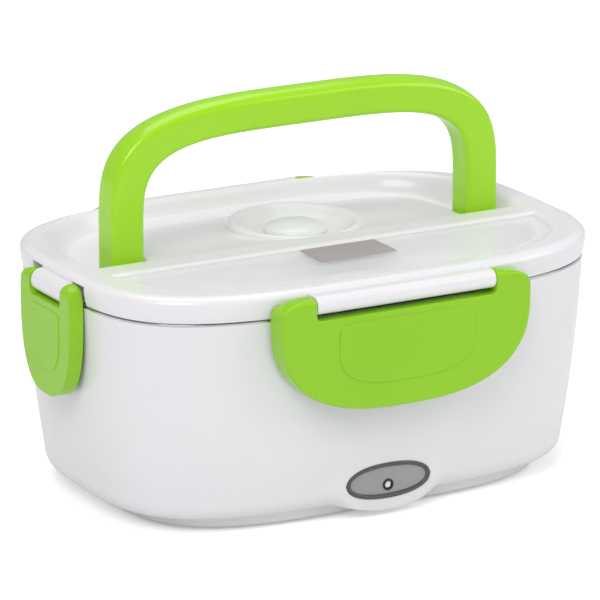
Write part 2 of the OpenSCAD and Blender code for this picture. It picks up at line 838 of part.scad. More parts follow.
module lid_shell() {
  color([0.93, 0.93, 0.94])
    difference() {
      union() {
        difference() {
          union() {
            lid_cap();
            rear_recess(2, lid_roof_z + 0.6);
            front_recess(2, cover_z - cover_t, lid_roof_z + 0.6);
            spoon_hollow(2);
            // thick sides behind the short latches
            for (i = [-1, 1])
              block([min(i * 105.4, i * (body_a - 1)), -31, lid_base_z + 0.6],
                    [max(i * 105.4, i * (body_a - 1)), 31, lid_roof_z + 0.4]);
          }
          rear_recess(0, lid_top_z);
          front_recess(0, cover_z - cover_t, lid_top_z);
          spoon_hollow(0);
          // round slots in which the short latches' ears turn
          for (i = [-1, 1], j = [-1, 1]) {
            translate([i * short_x, j * (short_bar + 29.6) / 2, short_z])
              rotate([0, 0, 90])
                rod_x(ear_r + 0.3, 29.6 - short_bar, 48);
            block([min(i * (short_x - short_back - 0.2), i * 124), min(j * short_bar, j * 29.6), lid_base_z - 1],
                  [max(i * (short_x - short_back - 0.2), i * 124), max(j * short_bar, j * 29.6), short_z]);
          }
        }
        vent_collar();
        grip_lug(-1);
        grip_lug(1);
        for (i = [-1, 1]) {
          long_bar_on(i);
          short_bar_on(i);
        }
      }
      vent_hollow();
      // bore for the vent valve and its four small steam holes
      translate([vent_x, vent_y, floor_z0 - 4])
        cylinder(r = vent_bore_r, h = 12, $fn = 40);
      for (q = [0:90:270])
        translate([vent_x, vent_y, floor_z0 - 4])
          rotate([0, 0, q + 45])
            translate([8.5, 0, 0])
              cylinder(r = 1.2, h = 12, $fn = 16);
      // bores for the trunnions
      for (i = [-1, 1])
        translate([i * (grip_a - arm_w - 3), grip_y, grip_z])
          rod_x(trunnion_r + trunnion_gap, 8, 40);
      // blind bores for the latch pegs
      for (i = [-1, 1], j = [-1, 1]) {
        translate([j * (long_bar - (peg_l + 0.4) / 2 + 0.5), i * long_y, long_z])
          rod_x(peg_r + peg_gap, peg_l + 1.4, 32);
        translate([i * short_x, j * (short_bar - (peg_l + 0.4) / 2 + 0.5), short_z])
          rotate([0, 0, 90])
            rod_x(peg_r + peg_gap, peg_l + 1.4, 32);
      }
    }
}

module lid_inner() {
  color([0.9, 0.9, 0.9])
    difference() {
      skin([
        plan(12, 85.6),
        plan(10, 86),
        plan(9.4, 87),
        plan(8.7, lid_base_z + 0.6),
        plan(wall_t + 0.02, lid_base_z + 0.6),
        plan(wall_t + 0.02, lid_base_z + 2),
        plan(10.2, lid_base_z + 2),
        plan(10.8, 88),
        plan(12, 87.2)
      ]);
      // room for the rear recess's underside
      rear_recess(2.3, lid_roof_z);
      // room for the blocks behind the short latches
      for (i = [-1, 1])
        block([min(i * 104.9, i * 120), -31.4, lid_base_z - 0.5],
              [max(i * 104.9, i * 120), 31.4, lid_top_z]);
      // steam holes under the vent
      for (q = [0:60:300])
        translate([vent_x, vent_y, 84])
          rotate([0, 0, q])
            translate([6, 0, 0])
              cylinder(r = 1.2, h = 5, $fn = 16);
    }
}

module lid_seal() {
  color([0.86, 0.87, 0.87])
    skin([
      plan(3.2, pan_flange_z + 0.15),
      plan(3.2, lid_base_z + 0.55),
      plan(8.5, lid_base_z + 0.55),
      plan(8.7, pan_flange_z - 0.3),
      plan(8.2, pan_flange_z - 0.6),
      plan(7.6, pan_flange_z + 0.05),
      plan(5, pan_flange_z + 0.05)
    ], loop = true);
}

module spoon() {
  bx = 34;
  by = -45;
  z0 = spoon_floor_z + 0.1;
  color([0.94, 0.94, 0.93])
    translate([bx, by, 0])
      union() {
        skin([
          oval(bowl_l * 0.42, bowl_w * 0.42, 2, z0, 32),
          oval(bowl_l * 0.8, bowl_w * 0.8, 2, z0 + 1.5, 32),
          oval(bowl_l, bowl_w, 2, z0 + 4.6, 32),
          oval(bowl_l - 0.8, bowl_w - 0.8, 2, z0 + 4.8, 32),
          oval(bowl_l * 0.76, bowl_w * 0.76, 2, z0 + 2.3, 32),
          oval(bowl_l * 0.4, bowl_w * 0.4, 2, z0 + 1.2, 32)
        ]);
        translate([0, 0, z0 + 2.8])
          linear_extrude(height = 1.9)
            polygon([
              [-bowl_l + 3.4, -4.2], [-bowl_l - 14, -3.4], [-spoon_l + bowl_l + 6, -5.6],
              [-spoon_l + bowl_l + 1.6, -4.6], [-spoon_l + bowl_l, 0], [-spoon_l + bowl_l + 1.6, 4.6],
              [-spoon_l + bowl_l + 6, 5.6], [-bowl_l - 14, 3.4], [-bowl_l + 3.4, 4.2]
            ]);
      }
}

module spoon_cover() {
  g = cover_gap;
  color([0.85, 0.88, 0.9, 0.45])
    union() {
      skin([
        front_ring(recess_a - 1 - g, front_b - g, ridge_front - g, cover_z - cover_t + 0.05, 36),
        front_ring(recess_a - 1 - g, front_b - g, ridge_front - g, cover_z - 0.4, 36),
        front_ring(recess_a - 1.4 - g, front_b - g - 0.4, ridge_front - g - 0.4, cover_z, 36)
      ]);
      // finger lip at the right end
      translate([84, -34, cover_z - 0.2])
        cylinder(r1 = 5, r2 = 4.4, h = 1.4, $fn = 40);
    }
}

module cover_label() {
  color([0.62, 0.59, 0.6])
    block([-15, -43.6, cover_z + 0.01], [21, -23.8, cover_z + 0.26]);
}

module vent_valve() {
  color([0.93, 0.93, 0.93])
    translate([vent_x, vent_y, 0])
      union() {
        // low dome that the fingers lift
        translate([0, 0, vent_floor_z + 0.06])
          rotate_extrude($fn = 48)
            polygon(concat(
              [[0, 0], [valve_r, 0], [valve_r, 1.1]],
              [for (a = [15:15:75]) [valve_r * cos(a), 1.1 + valve_crown * sin(a)]],
              [[0, 1.1 + valve_crown]]
            ));
        translate([0, 0, vent_floor_z - 6.6])
          cylinder(r = valve_stem_r - 0.01, h = 7, $fn = 40);
      }
}

// ---------- handle ----------

// outer and inner curves of the bail, t from 0 at the right arm to 180 at the left
function grip_outer(t) = [
  grip_a * sign(cos(t)) * pow(abs(cos(t)), 2 / 3.7),
  shoulder_z + (grip_top_z - shoulder_z) * pow(sin(t), 2 / 3.7)
];
function grip_inner(t) = [
  (grip_a - arm_w) * sign(cos(t)) * pow(abs(cos(t)), 2 / 4),
  shoulder_z + (grip_top_z - bar_t - shoulder_z) * pow(sin(t), 2 / 4)
];

// one rounded section of the bail between an inner and an outer point
function grip_ring(pi, po, crown) =
  let (w = norm(po - pi), u = (po - pi) / w, h = grip_h, r = 1.7,
       sec = [
         [r, -h], [w - r, -h], [w - 0.3 * r, -h + 0.3 * r], [w + 0.1 * crown, -h + r],
         [w + 0.75 * crown, -h * 0.45], [w + crown, 0], [w + 0.75 * crown, h * 0.45],
         [w + 0.1 * crown, h - r], [w - 0.3 * r, h - 0.3 * r], [w - r, h], [r, h],
         [0.3 * r, h - 0.3 * r], [0, h - r], [0, -h + r], [0.3 * r, -h + 0.3 * r]
       ])
    [for (s = sec) [pi[0] + u[0] * s[0], grip_y + s[1], pi[1] + u[1] * s[0]]];

module handle() {
  steps = 26;
  color([0.6, 0.83, 0.2])
    union() {
      skin(concat(
        [grip_ring([grip_a - arm_w, grip_z], [grip_a, grip_z], 0)],
        [
          for (i = [0:steps])
            let (t = 180 * i / steps, k = sin(t))
              grip_ring(grip_inner(t), grip_outer(t), bar_crown * k * k)
        ],
        [grip_ring([-grip_a + arm_w, grip_z], [-grip_a, grip_z], 0)]
      ));
      for (i = [-1, 1])
        translate([i * (grip_a - arm_w / 2), grip_y, grip_z]) {
          rod_x(grip_h, arm_w, 48);
          translate([-i * (arm_w / 2 + trunnion_l / 2 - 0.5), 0, 0])
            rod_x(trunnion_r, trunnion_l + 1, 40);
        }
    }
}

// ---------- latches ----------

// outline of a latch: rounded top, long D below; x across, y of the ring up
function latch_ring(a, top, low, inset, z, count) = [
  for (i = [0:count - 1])
    let (t = 360 * i / count, c = cos(t), s = sin(t), m = s > 0 ? 5 : 2.6,
         reach = s > 0 ? top + 8 - inset : low - 8 - inset)
      [
        (a - inset) * sign(c) * pow(abs(c), 2 / m),
        -8 + reach * sign(s) * pow(abs(s), 2 / m),
        z
      ]
];

// one latch in its own frame: hinge axis along X through the origin, outside at -Y,
// back is how far its rear edge and nose reach in past the axis
module latch(a, bar, low, nose, back) {
  inner = bar + ear_gap;
  notch = -6.9;
  difference() {
    union() {
      difference() {
        rotate([90, 0, 0])
          skin([
            latch_ring(a, ear_r, low, 0, -5, 44),
            latch_ring(a, ear_r, low, 0, ear_r - 2.2, 44),
            latch_ring(a, ear_r, low, 0.3, ear_r - 1, 44),
            latch_ring(a, ear_r, low, 0.9, ear_r - 0.3, 44),
            latch_ring(a, ear_r, low, 1.9, ear_r, 44)
          ]);
        // hollow behind the plate, leaving walls round the ears and the notch
        intersection() {
          rotate([90, 0, 0])
            skin([
              latch_ring(a, ear_r, low, latch_t, -6, 44),
              latch_ring(a, ear_r, low, latch_t, ear_r - latch_t, 44)
            ]);
          union() {
            block([-a, -ear_r, -low - 1], [a, 7, notch - latch_t]);
            block([-a, -ear_r, -20], [-inner - latch_t, 7, 2.4]);
            block([inner + latch_t, -ear_r, -20], [a, 7, 2.4]);
          }
        }
      }
      // nose that lies under the housing's catch
      block([-nose, -ear_r + 1, -nose_drop - 2.2], [nose, back, -nose_drop]);
      block([-nose, -ear_r + 1, -nose_drop - 7], [-nose + 1.6, back - 1, -nose_drop]);
      block([nose - 1.6, -ear_r + 1, -nose_drop - 7], [nose, back - 1, -nose_drop]);
    }
    // notch for the hinge bar
    block([-inner, -10, notch], [inner, 10, 10]);
    // straight back edge, clear of the housing when the closed lid lifts off
    block([-a - 1, back, -low - 2], [a + 1, 14, 12]);
    // round top of the ears
    difference() {
      block([-a - 1, -8, 0], [a + 1, 8, 9]);
      rod_x(ear_r, 2 * a + 4, 64);
    }
  }
  for (i = [-1, 1])
    translate([i * (inner - peg_l / 2 + 0.4), 0, 0])
      rod_x(peg_r, peg_l + 0.8, 32);
}

module long_latch() {
  color([0.6, 0.83, 0.2])
    latch(long_a, long_bar, long_z - long_low_z, 34, long_back);
}

module short_latch() {
  color([0.6, 0.83, 0.2])
    latch(short_a, short_bar, short_z - short_low_z, 14, short_back);
}

module latch_front() {
  translate([0, -long_y, long_z])
    long_latch();
}

module latch_rear() {
  translate([0, long_y, long_z])
    rotate([0, 0, 180])
      long_latch();
}

module latch_left() {
  translate([-short_x, 0, short_z])
    rotate([0, 0, -90])
      short_latch();
}

module latch_right() {
  translate([short_x, 0, short_z])
    rotate([0, 0, 90])
      short_latch();
}

housing();
well_liner();
base_cover();
rubber_feet();
base_screws();
heating_plate();
ptc_heater();
heater_clamp();
clamp_screws();
thermostat();
thermal_fuse();
inlet_body();
inlet_pins();
lead_wires();
lamp_bezel();
lamp_plate();
lamp_ring();
lamp_led();
led_board();
food_container();
lid_shell();
lid_inner();
lid_seal();
spoon();
spoon_cover();
cover_label();
vent_valve();
handle();
latch_front();
latch_rear();
latch_left();
latch_right();
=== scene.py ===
"""Electric lunch box with a lift-off lid, four snap latches and a folding handle.

Lengths in the classes are millimetres in the box's own frame: X runs along the long
side, the front is towards -Y and the feet stand on z = 0. Meshes are scaled to metres
when they are published.
"""

from __future__ import annotations

import sys
import logging
import math
from dataclasses import dataclass, field
from enum import Enum
from typing import Callable, Sequence

import bmesh
import bpy
from mathutils import Matrix, Vector


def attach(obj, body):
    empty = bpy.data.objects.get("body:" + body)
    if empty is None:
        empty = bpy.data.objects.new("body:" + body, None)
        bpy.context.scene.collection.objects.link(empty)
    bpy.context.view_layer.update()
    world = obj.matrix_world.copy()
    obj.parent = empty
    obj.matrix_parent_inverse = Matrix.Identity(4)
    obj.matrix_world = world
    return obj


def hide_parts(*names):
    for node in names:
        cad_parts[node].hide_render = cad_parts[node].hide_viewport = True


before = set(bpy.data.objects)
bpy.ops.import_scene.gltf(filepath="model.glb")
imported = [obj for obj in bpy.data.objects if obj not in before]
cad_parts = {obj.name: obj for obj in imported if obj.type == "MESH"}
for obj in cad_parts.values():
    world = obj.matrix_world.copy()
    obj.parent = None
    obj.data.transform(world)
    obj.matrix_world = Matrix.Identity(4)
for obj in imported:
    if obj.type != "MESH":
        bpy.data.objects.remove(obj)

LOG = logging.getLogger("lunch_box")
MM = 0.001
Shape = Callable[[float], Vector]


class Body(str, Enum):
    """The rigid bodies that pieces ride on."""

    BASE = "base"
    LID = "lid"
    CLEAR_LID = "clear_lid"
    VALVE = "valve"
    BAIL = "bail"
    FRONT = "front_latch"
    REAR = "rear_latch"
    LEFT = "left_latch"
    RIGHT = "right_latch"


class Side(Enum):
    """The four sides of the box, with the turn about Z that brings a latch there."""

    FRONT = 0.0
    RIGHT = 90.0
    REAR = 180.0
    LEFT = -90.0


# ---------------------------------------------------------------- finishes


def linear(colour: Sequence[float]) -> tuple[float, float, float, float]:
    """Turn an sRGB colour of 0 to 255 into the linear colour that nodes take.

    Args:
        colour: red, green and blue.

    Returns:
        Linear red, green, blue and an alpha of 1.
    """
    out = []
    for value in colour[:3]:
        v = value / 255.0
        out.append(v / 12.92 if v <= 0.04045 else ((v + 0.055) / 1.055) ** 2.4)
    return (out[0], out[1], out[2], 1.0)


class Nodes:
    """A material's node tree, with short calls for the nodes the finishes use."""

    def __init__(self, name: str) -> None:
        """Start an empty tree with a shader and object coordinates."""
        self.material = bpy.data.materials.new(name)
        self.material.use_nodes = True
        self.tree = self.material.node_tree
        self.tree.nodes.clear()
        self.output = self.add("ShaderNodeOutputMaterial")
        self.shader = self.add("ShaderNodeBsdfPrincipled")
        self.link(self.shader.outputs["BSDF"], self.output.inputs["Surface"])
        self.place = self.add("ShaderNodeTexCoord").outputs["Object"]

    def add(self, kind: str) -> bpy.types.Node:
        """Add one node of a kind."""
        return self.tree.nodes.new(kind)

    def link(self, source: bpy.types.NodeSocket, target: bpy.types.NodeSocket) -> None:
        """Link two sockets."""
        self.tree.links.new(source, target)

    def set(self, **values: float | tuple) -> None:
        """Set the shader's sockets, named with underscores for spaces."""
        for name, value in values.items():
            self.shader.inputs[name.replace("_", " ")].default_value = value

    def noise(self, scale: float, detail: float = 2.0, stretch: Sequence[float] = (1, 1, 1)) -> bpy.types.NodeSocket:
        """A noise pattern on object coordinates.

        Args:
            scale: how many patches lie on one metre.
            detail: how many finer layers are added.
            stretch: scale of the pattern along each axis.

        Returns:
            The pattern's value.
        """
        mapping = self.add("ShaderNodeMapping")
        mapping.inputs["Scale"].default_value = stretch
        self.link(self.place, mapping.inputs["Vector"])
        node = self.add("ShaderNodeTexNoise")
        node.inputs["Scale"].default_value = scale
        node.inputs["Detail"].default_value = detail
        self.link(mapping.outputs["Vector"], node.inputs["Vector"])
        return node.outputs["Fac"]

    def blend(self, low: Sequence[float], high: Sequence[float], amount: bpy.types.NodeSocket) -> bpy.types.NodeSocket:
        """A colour between two sRGB colours that follows a pattern."""
        ramp = self.add("ShaderNodeValToRGB")
        ramp.color_ramp.elements[0].position = 0.3
        ramp.color_ramp.elements[1].position = 0.7
        ramp.color_ramp.elements[0].color = linear(low)
        ramp.color_ramp.elements[1].color = linear(high)
        self.link(amount, ramp.inputs["Fac"])
        return ramp.outputs["Color"]

    def span(self, amount: bpy.types.NodeSocket, low: float, high: float) -> bpy.types.NodeSocket:
        """Map a pattern to values from low to high."""
        node = self.add("ShaderNodeMapRange")
        node.inputs["From Min"].default_value = 0.3
        node.inputs["From Max"].default_value = 0.7
        node.inputs["To Min"].default_value = low
        node.inputs["To Max"].default_value = high
        self.link(amount, node.inputs["Value"])
        return node.outputs["Result"]

    def bump(self, height: bpy.types.NodeSocket, strength: float, distance: float) -> None:
        """Raise the surface along a pattern by a distance in metres."""
        node = self.add("ShaderNodeBump")
        node.inputs["Strength"].default_value = strength
        node.inputs["Distance"].default_value = distance
        self.link(height, node.inputs["Height"])
        self.link(node.outputs["Normal"], self.shader.inputs["Normal"])


@dataclass(frozen=True)
class MouldedPlastic:
    """A moulded plastic: faint mottling, a fine skin grain and uneven gloss."""

    name: str
    colour: tuple[int, int, int]
    gloss: float = 0.28
    mottle: float = 2.5
    grain: float = 0.012
    grain_scale: float = 3600.0
    depth: float = 0.0
    coat: float = 0.0

    def build(self) -> bpy.types.Material:
        """Make the material."""
        nodes = Nodes(self.name)
        broad = nodes.noise(28.0, 3.0)
        low = [max(0.0, c - self.mottle) for c in self.colour]
        high = [min(255.0, c + self.mottle) for c in self.colour]
        nodes.link(nodes.blend(low, high, broad), nodes.shader.inputs["Base Color"])
        fine = nodes.noise(self.grain_scale, 2.0)
        nodes.link(nodes.span(fine, self.gloss * 0.85, self.gloss * 1.2), nodes.shader.inputs["Roughness"])
        nodes.bump(fine, self.grain, 0.0002)
        nodes.set(IOR=1.5)
        if self.depth > 0:
            nodes.set(Subsurface_Weight=self.depth, Subsurface_Radius=(0.004, 0.004, 0.004), Subsurface_Scale=0.5)
        if self.coat > 0:
            nodes.set(Coat_Weight=self.coat, Coat_Roughness=0.08)
        return nodes.material


@dataclass(frozen=True)
class Metal:
    """A metal with fine drawn lines along one axis."""

    name: str
    colour: tuple[int, int, int]
    gloss: float = 0.28
    stretch: tuple[float, float, float] = (1.0, 12.0, 12.0)

    def build(self) -> bpy.types.Material:
        """Make the material."""
        nodes = Nodes(self.name)
        lines = nodes.noise(160.0, 4.0, self.stretch)
        low = [c - 10 for c in self.colour]
        nodes.link(nodes.blend(low, self.colour, lines), nodes.shader.inputs["Base Color"])
        nodes.link(nodes.span(lines, self.gloss * 0.8, self.gloss * 1.3), nodes.shader.inputs["Roughness"])
        nodes.bump(lines, 0.06, 0.0001)
        nodes.set(Metallic=1.0)
        return nodes.material


@dataclass(frozen=True)
class ClearPlastic:
    """A thin clear sheet with a faint haze, which throws only a weak shadow."""

    name: str
    tint: tuple[int, int, int] = (238, 238, 239)
    haze: float = 0.12

    def build(self) -> bpy.types.Material:
        """Make the material."""
        nodes = Nodes(self.name)
        haze = nodes.noise(60.0, 3.0)
        nodes.link(nodes.span(haze, self.haze * 0.7, self.haze * 1.4), nodes.shader.inputs["Roughness"])
        nodes.link(nodes.blend([c - 4 for c in self.tint], self.tint, haze), nodes.shader.inputs["Base Color"])
        nodes.set(IOR=1.5, Alpha=0.5)
        clear = nodes.add("ShaderNodeBsdfTransparent")
        clear.inputs["Color"].default_value = (0.96, 0.965, 0.97, 1.0)
        path = nodes.add("ShaderNodeLightPath")
        mix = nodes.add("ShaderNodeMixShader")
        nodes.link(path.outputs["Is Shadow Ray"], mix.inputs["Fac"])
        nodes.link(nodes.shader.outputs["BSDF"], mix.inputs[1])
        nodes.link(clear.outputs["BSDF"], mix.inputs[2])
        nodes.link(mix.outputs["Shader"], nodes.output.inputs["Surface"])
        return nodes.material


@dataclass(frozen=True)
class Finishes:
    """Every finish on the box, made once and handed to the pieces."""

    shell: MouldedPlastic = MouldedPlastic("white_shell", (235, 234, 238), gloss=0.24, mottle=1.2, coat=0.2)
    lid: MouldedPlastic = MouldedPlastic("white_lid", (238, 236, 240), gloss=0.2, mottle=1.0, coat=0.2)
    base: MouldedPlastic = MouldedPlastic("grey_base", (238, 238, 238), gloss=0.4, grain=0.04)
    well: MouldedPlastic = MouldedPlastic("well_grey", (208, 208, 206), gloss=0.45, grain=0.1)
    grip: MouldedPlastic = MouldedPlastic("green_grip", (161, 223, 6), gloss=0.22, mottle=2.0, coat=0.3)
    latch: MouldedPlastic = MouldedPlastic("green_latch", (145, 206, 4), gloss=0.24, mottle=2.0, coat=0.15)
    valve: MouldedPlastic = MouldedPlastic("valve_white", (230, 230, 231), gloss=0.22, mottle=1.5, coat=0.2)
    spoon: MouldedPlastic = MouldedPlastic("spoon_white", (238, 238, 236), gloss=0.3)
    label: MouldedPlastic = MouldedPlastic("label_grey", (170, 162, 163), gloss=0.4, mottle=4.0, grain=0.15)
    bezel: MouldedPlastic = MouldedPlastic("bezel_grey", (84, 84, 88), gloss=0.34, mottle=3.0)
    plate: MouldedPlastic = MouldedPlastic("lamp_grey", (158, 158, 160), gloss=0.4, mottle=4.0, grain=0.2)
    black: MouldedPlastic = MouldedPlastic("black_plastic", (30, 30, 32), gloss=0.36, mottle=3.0, grain=0.15)
    rubber: MouldedPlastic = MouldedPlastic("foot_rubber", (44, 44, 46), gloss=0.7, grain=0.3, grain_scale=900.0)
    seal: MouldedPlastic = MouldedPlastic("seal_silicone", (222, 224, 224), gloss=0.5, depth=0.3)
    lamp: MouldedPlastic = MouldedPlastic("lamp_white", (246, 246, 242), gloss=0.15, depth=0.4)
    board: MouldedPlastic = MouldedPlastic("board_green", (36, 96, 58), gloss=0.4, mottle=8.0)
    lead: MouldedPlastic = MouldedPlastic("lead_cover", (190, 48, 38), gloss=0.45, mottle=6.0)
    ceramic: MouldedPlastic = MouldedPlastic("fuse_case", (222, 216, 198), gloss=0.5, mottle=6.0)
    steel: Metal = Metal("steel_pan", (206, 207, 209), gloss=0.2)
    aluminium: Metal = Metal("plate_aluminium", (196, 198, 201), gloss=0.38)
    heater: Metal = Metal("heater_case", (180, 176, 168), gloss=0.42)
    clamp: Metal = Metal("clamp_steel", (188, 189, 191), gloss=0.34)
    screw: Metal = Metal("screw_steel", (178, 179, 182), gloss=0.3, stretch=(12.0, 12.0, 1.0))
    pin: Metal = Metal("pin_metal", (208, 204, 192), gloss=0.22, stretch=(12.0, 1.0, 12.0))
    clear: ClearPlastic = ClearPlastic("clear_cover")


class Palette:
    """The materials made from the finishes, one for each name."""

    def __init__(self, finishes: Finishes) -> None:
        """Keep the finishes and an empty shelf of materials."""
        self.finishes = finishes
        self.made: dict[str, bpy.types.Material] = {}

    def get(self, finish: MouldedPlastic | Metal | ClearPlastic) -> bpy.types.Material:
        """The material of a finish, made at its first use."""
        if finish.name not in self.made:
            self.made[finish.name] = finish.build()
        return self.made[finish.name]


# ---------------------------------------------------------------- outlines


@dataclass(frozen=True)
class Outline:
    """A rounded plan outline: a superellipse with half sizes and a squareness."""

    half_x: float = 113.0
    half_y: float = 77.0
    power: float = 3.45

    def point(self, t: float, inset: float = 0.0) -> tuple[float, float]:
        """A point at angle t, moved inwards by inset."""
        c, s = math.cos(t), math.sin(t)
        x = (self.half_x - inset) * math.copysign(abs(c) ** (2 / self.power), c)
        y = (self.half_y - inset) * math.copysign(abs(s) ** (2 / self.power), s)
        return x, y

    def table(self) -> list[tuple[float, float]]:
        """Length along the curve against angle, for even spacing."""
        samples = 1440
        run, rows = 0.0, []
        last = self.point(0.0)
        for i in range(samples + 1):
            t = 2 * math.pi * i / samples
            here = self.point(t)
            run += math.dist(last, here)
            rows.append((run, t))
            last = here
        return rows

    def angles(self, count: int) -> list[float]:
        """Angles of evenly spaced points along the curve."""
        rows = self.table()
        total, k, out = rows[-1][0], 0, []
        for i in range(count):
            want = total * i / count
            while rows[k + 1][0] < want:
                k += 1
            (r0, t0), (r1, t1) = rows[k], rows[k + 1]
            out.append(t0 + (t1 - t0) * (want - r0) / max(r1 - r0, 1e-9))
        return out


@dataclass(frozen=True)
class CutOutline(Outline):
    """The part of an outline on one side of a line along X, with softened corners."""

    limit: float = 0.0
    rear: bool = True
    soft: float = 2.0
    steep: float = 1.0

    def point(self, t: float, inset: float = 0.0) -> tuple[float, float]:
        """A point at angle t, held back by the line."""
        x, y = Outline(self.half_x - inset, self.half_y - inset * self.steep, self.power).point(t)
        sign = 1.0 if self.rear else -1.0
        u = sign * (y - self.limit) - inset
        held = (u + math.hypot(u, self.soft)) / 2
        return x, self.limit + sign * (held + inset)


class Loft:
    """A skin made by extruding one closed ring of vertices from shape to shape."""

    def __init__(self, count: int) -> None:
        """Start a ring of count vertices."""
        self.bm = bmesh.new()
        self.key = self.bm.verts.layers.float.new("turn")
        made = bmesh.ops.create_circle(self.bm, cap_ends=False, segments=count, radius=1.0)["verts"]
        for i, vert in enumerate(made):
            vert[self.key] = i / len(made)
        self.count = count
        self.edges = list(self.bm.edges)
        self.first: Shape | None = None

    def ring(self, shape: Shape) -> "Loft":
        """Place the first ring, or extrude the last ring to a new shape.

        Args:
            shape: gives a point for each turn from 0 to 1.

        Returns:
            The loft itself.
        """
        if self.first is None:
            self.first = shape
            verts = list(self.bm.verts)
        else:
            geom = bmesh.ops.extrude_edge_only(self.bm, edges=self.edges)["geom"]
            verts = [g for g in geom if isinstance(g, bmesh.types.BMVert)]
            self.edges = [g for g in geom if isinstance(g, bmesh.types.BMEdge)]
        for vert in verts:
            vert.co = shape(vert[self.key])
        return self

    def cap(self) -> "Loft":
        """Close the last ring with one face."""
        bmesh.ops.edgeloop_fill(self.bm, edges=self.edges)
        return self

    def finish(self, loop: bool = False) -> bmesh.types.BMesh:
        """Close the skin and point its faces outwards.

        Args:
            loop: join the last ring to the first, as on a ring with a wall.

        Returns:
            The closed mesh.
        """
        if loop:
            self.ring(self.first)
            bmesh.ops.remove_doubles(self.bm, verts=self.bm.verts, dist=1e-4)
        else:
            self.cap()
            ends = [e for e in self.bm.edges if e.is_boundary]
            bmesh.ops.edgeloop_fill(self.bm, edges=ends)
        bmesh.ops.recalc_face_normals(self.bm, faces=self.bm.faces)
        return self.bm


class PlanLoft(Loft):
    """A loft whose rings follow a plan outline."""

    def __init__(self, outline: Outline, count: int) -> None:
        """Start a ring with evenly spaced points on the outline."""
        super().__init__(count)
        self.outline = outline
        self.turns = outline.angles(count)

    def level(self, inset: float, height: float | Callable[[float], float], outline: Outline | None = None) -> "PlanLoft":
        """Add a ring.

        Args:
            inset: how far the ring stands in from the outline.
            height: its height, or a function of y that gives it.
            outline: another outline to follow from here.

        Returns:
            The loft itself.
        """
        path = outline or self.outline

        def shape(turn: float) -> Vector:
            """The ring's point at a turn."""
            x, y = path.point(self.turns[round(turn * self.count) % self.count], inset)
            return Vector((x, y, height(y) if callable(height) else height))

        self.ring(shape)
        return self

    def arc(self, start: tuple[float, float], end: tuple[float, float], steps: int, bulge_first: bool) -> "PlanLoft":
        """Add rings along a quarter of an ellipse between two (inset, height) points.

        Args:
            start: inset and height where the arc begins.
            end: inset and height where it ends.
            steps: how many rings are added after the start.
            bulge_first: the height changes first and the inset last.

        Returns:
            The loft itself.
        """
        for k in range(1, steps + 1):
            a = math.pi / 2 * k / steps
            slow, fast = 1 - math.cos(a), math.sin(a)
            fi, fz = (slow, fast) if bulge_first else (fast, slow)
            self.level(start[0] + (end[0] - start[0]) * fi, start[1] + (end[1] - start[1]) * fz)
        return self


# ---------------------------------------------------------------- solids


def box_solid(lo: Sequence[float], hi: Sequence[float], round_edges: float = 0.0, segments: int = 3) -> bmesh.types.BMesh:
    """A block between two corners, its edges rounded.

    Args:
        lo: low corner.
        hi: high corner.
        round_edges: radius of the edges.
        segments: how finely they are rounded.

    Returns:
        The block.
    """
    bm = bmesh.new()
    bmesh.ops.create_cube(bm, size=1.0)
    size = Vector(hi) - Vector(lo)
    bmesh.ops.scale(bm, vec=size, verts=bm.verts)
    bmesh.ops.translate(bm, vec=(Vector(hi) + Vector(lo)) / 2, verts=bm.verts)
    if round_edges > 0:
        bmesh.ops.bevel(
            bm, geom=list(bm.edges), offset=round_edges, offset_type="OFFSET", segments=segments,
            profile=0.5, affect="EDGES", material=-1,
        )
    return bm


def rod(centre: Sequence[float], radius: float, length: float, axis: str, segments: int = 48, rim: float = 0.0) -> bmesh.types.BMesh:
    """A round bar about its centre along X, Y or Z.

    Args:
        centre: its middle.
        radius: its radius.
        length: its length.
        axis: one of X, Y and Z.
        segments: faces round it.
        rim: radius of its rounded rims.

    Returns:
        The bar.
    """
    bm = bmesh.new()
    bmesh.ops.create_cone(bm, cap_ends=True, segments=segments, radius1=radius, radius2=radius, depth=length)
    if rim > 0:
        edges = [e for e in bm.edges if len(e.link_faces) == 2 and any(len(f.verts) > 4 for f in e.link_faces)]
        bmesh.ops.bevel(bm, geom=edges, offset=rim, offset_type="OFFSET", segments=3, profile=0.5, affect="EDGES", material=-1)
    turn = {"X": Matrix.Rotation(math.pi / 2, 4, "Y"), "Y": Matrix.Rotation(math.pi / 2, 4, "X"), "Z": Matrix.Identity(4)}[axis]
    bmesh.ops.transform(bm, matrix=Matrix.Translation(centre) @ turn, verts=bm.verts)
    return bm


def spun(profile: Sequence[tuple[float, float]], centre: Sequence[float], steps: int = 96) -> bmesh.types.BMesh:
    """Spin a profile of (radius, height) points about an upright axis.

    Args:
        profile: points from the axis and back to the axis.
        centre: x and y of the axis.
        steps: faces round it.

    Returns:
        The closed solid.
    """
    bm = bmesh.new()
    verts = [bm.verts.new((r, 0.0, z)) for r, z in profile]
    edges = [bm.edges.new(pair) for pair in zip(verts, verts[1:])]
    bmesh.ops.spin(
        bm, geom=verts + edges, cent=(0, 0, 0), axis=(0, 0, 1), dvec=(0, 0, 0), angle=2 * math.pi,
        steps=steps, use_merge=True, use_duplicate=False,
    )
    bmesh.ops.remove_doubles(bm, verts=bm.verts, dist=1e-4)
    bmesh.ops.recalc_face_normals(bm, faces=bm.faces)
    bmesh.ops.translate(bm, vec=(centre[0], centre[1], 0.0), verts=bm.verts)
    return bm


def absorb(target: bmesh.types.BMesh, other: bmesh.types.BMesh) -> bmesh.types.BMesh:
    """Add another mesh's shells to a mesh.

    Args:
        target: the mesh that grows.
        other: the mesh that is added and freed.

    Returns:
        The grown mesh.
    """
    mesh = bpy.data.meshes.new("part")
    other.to_mesh(mesh)
    target.from_mesh(mesh)
    bpy.data.meshes.remove(mesh)
    other.free()
    return target


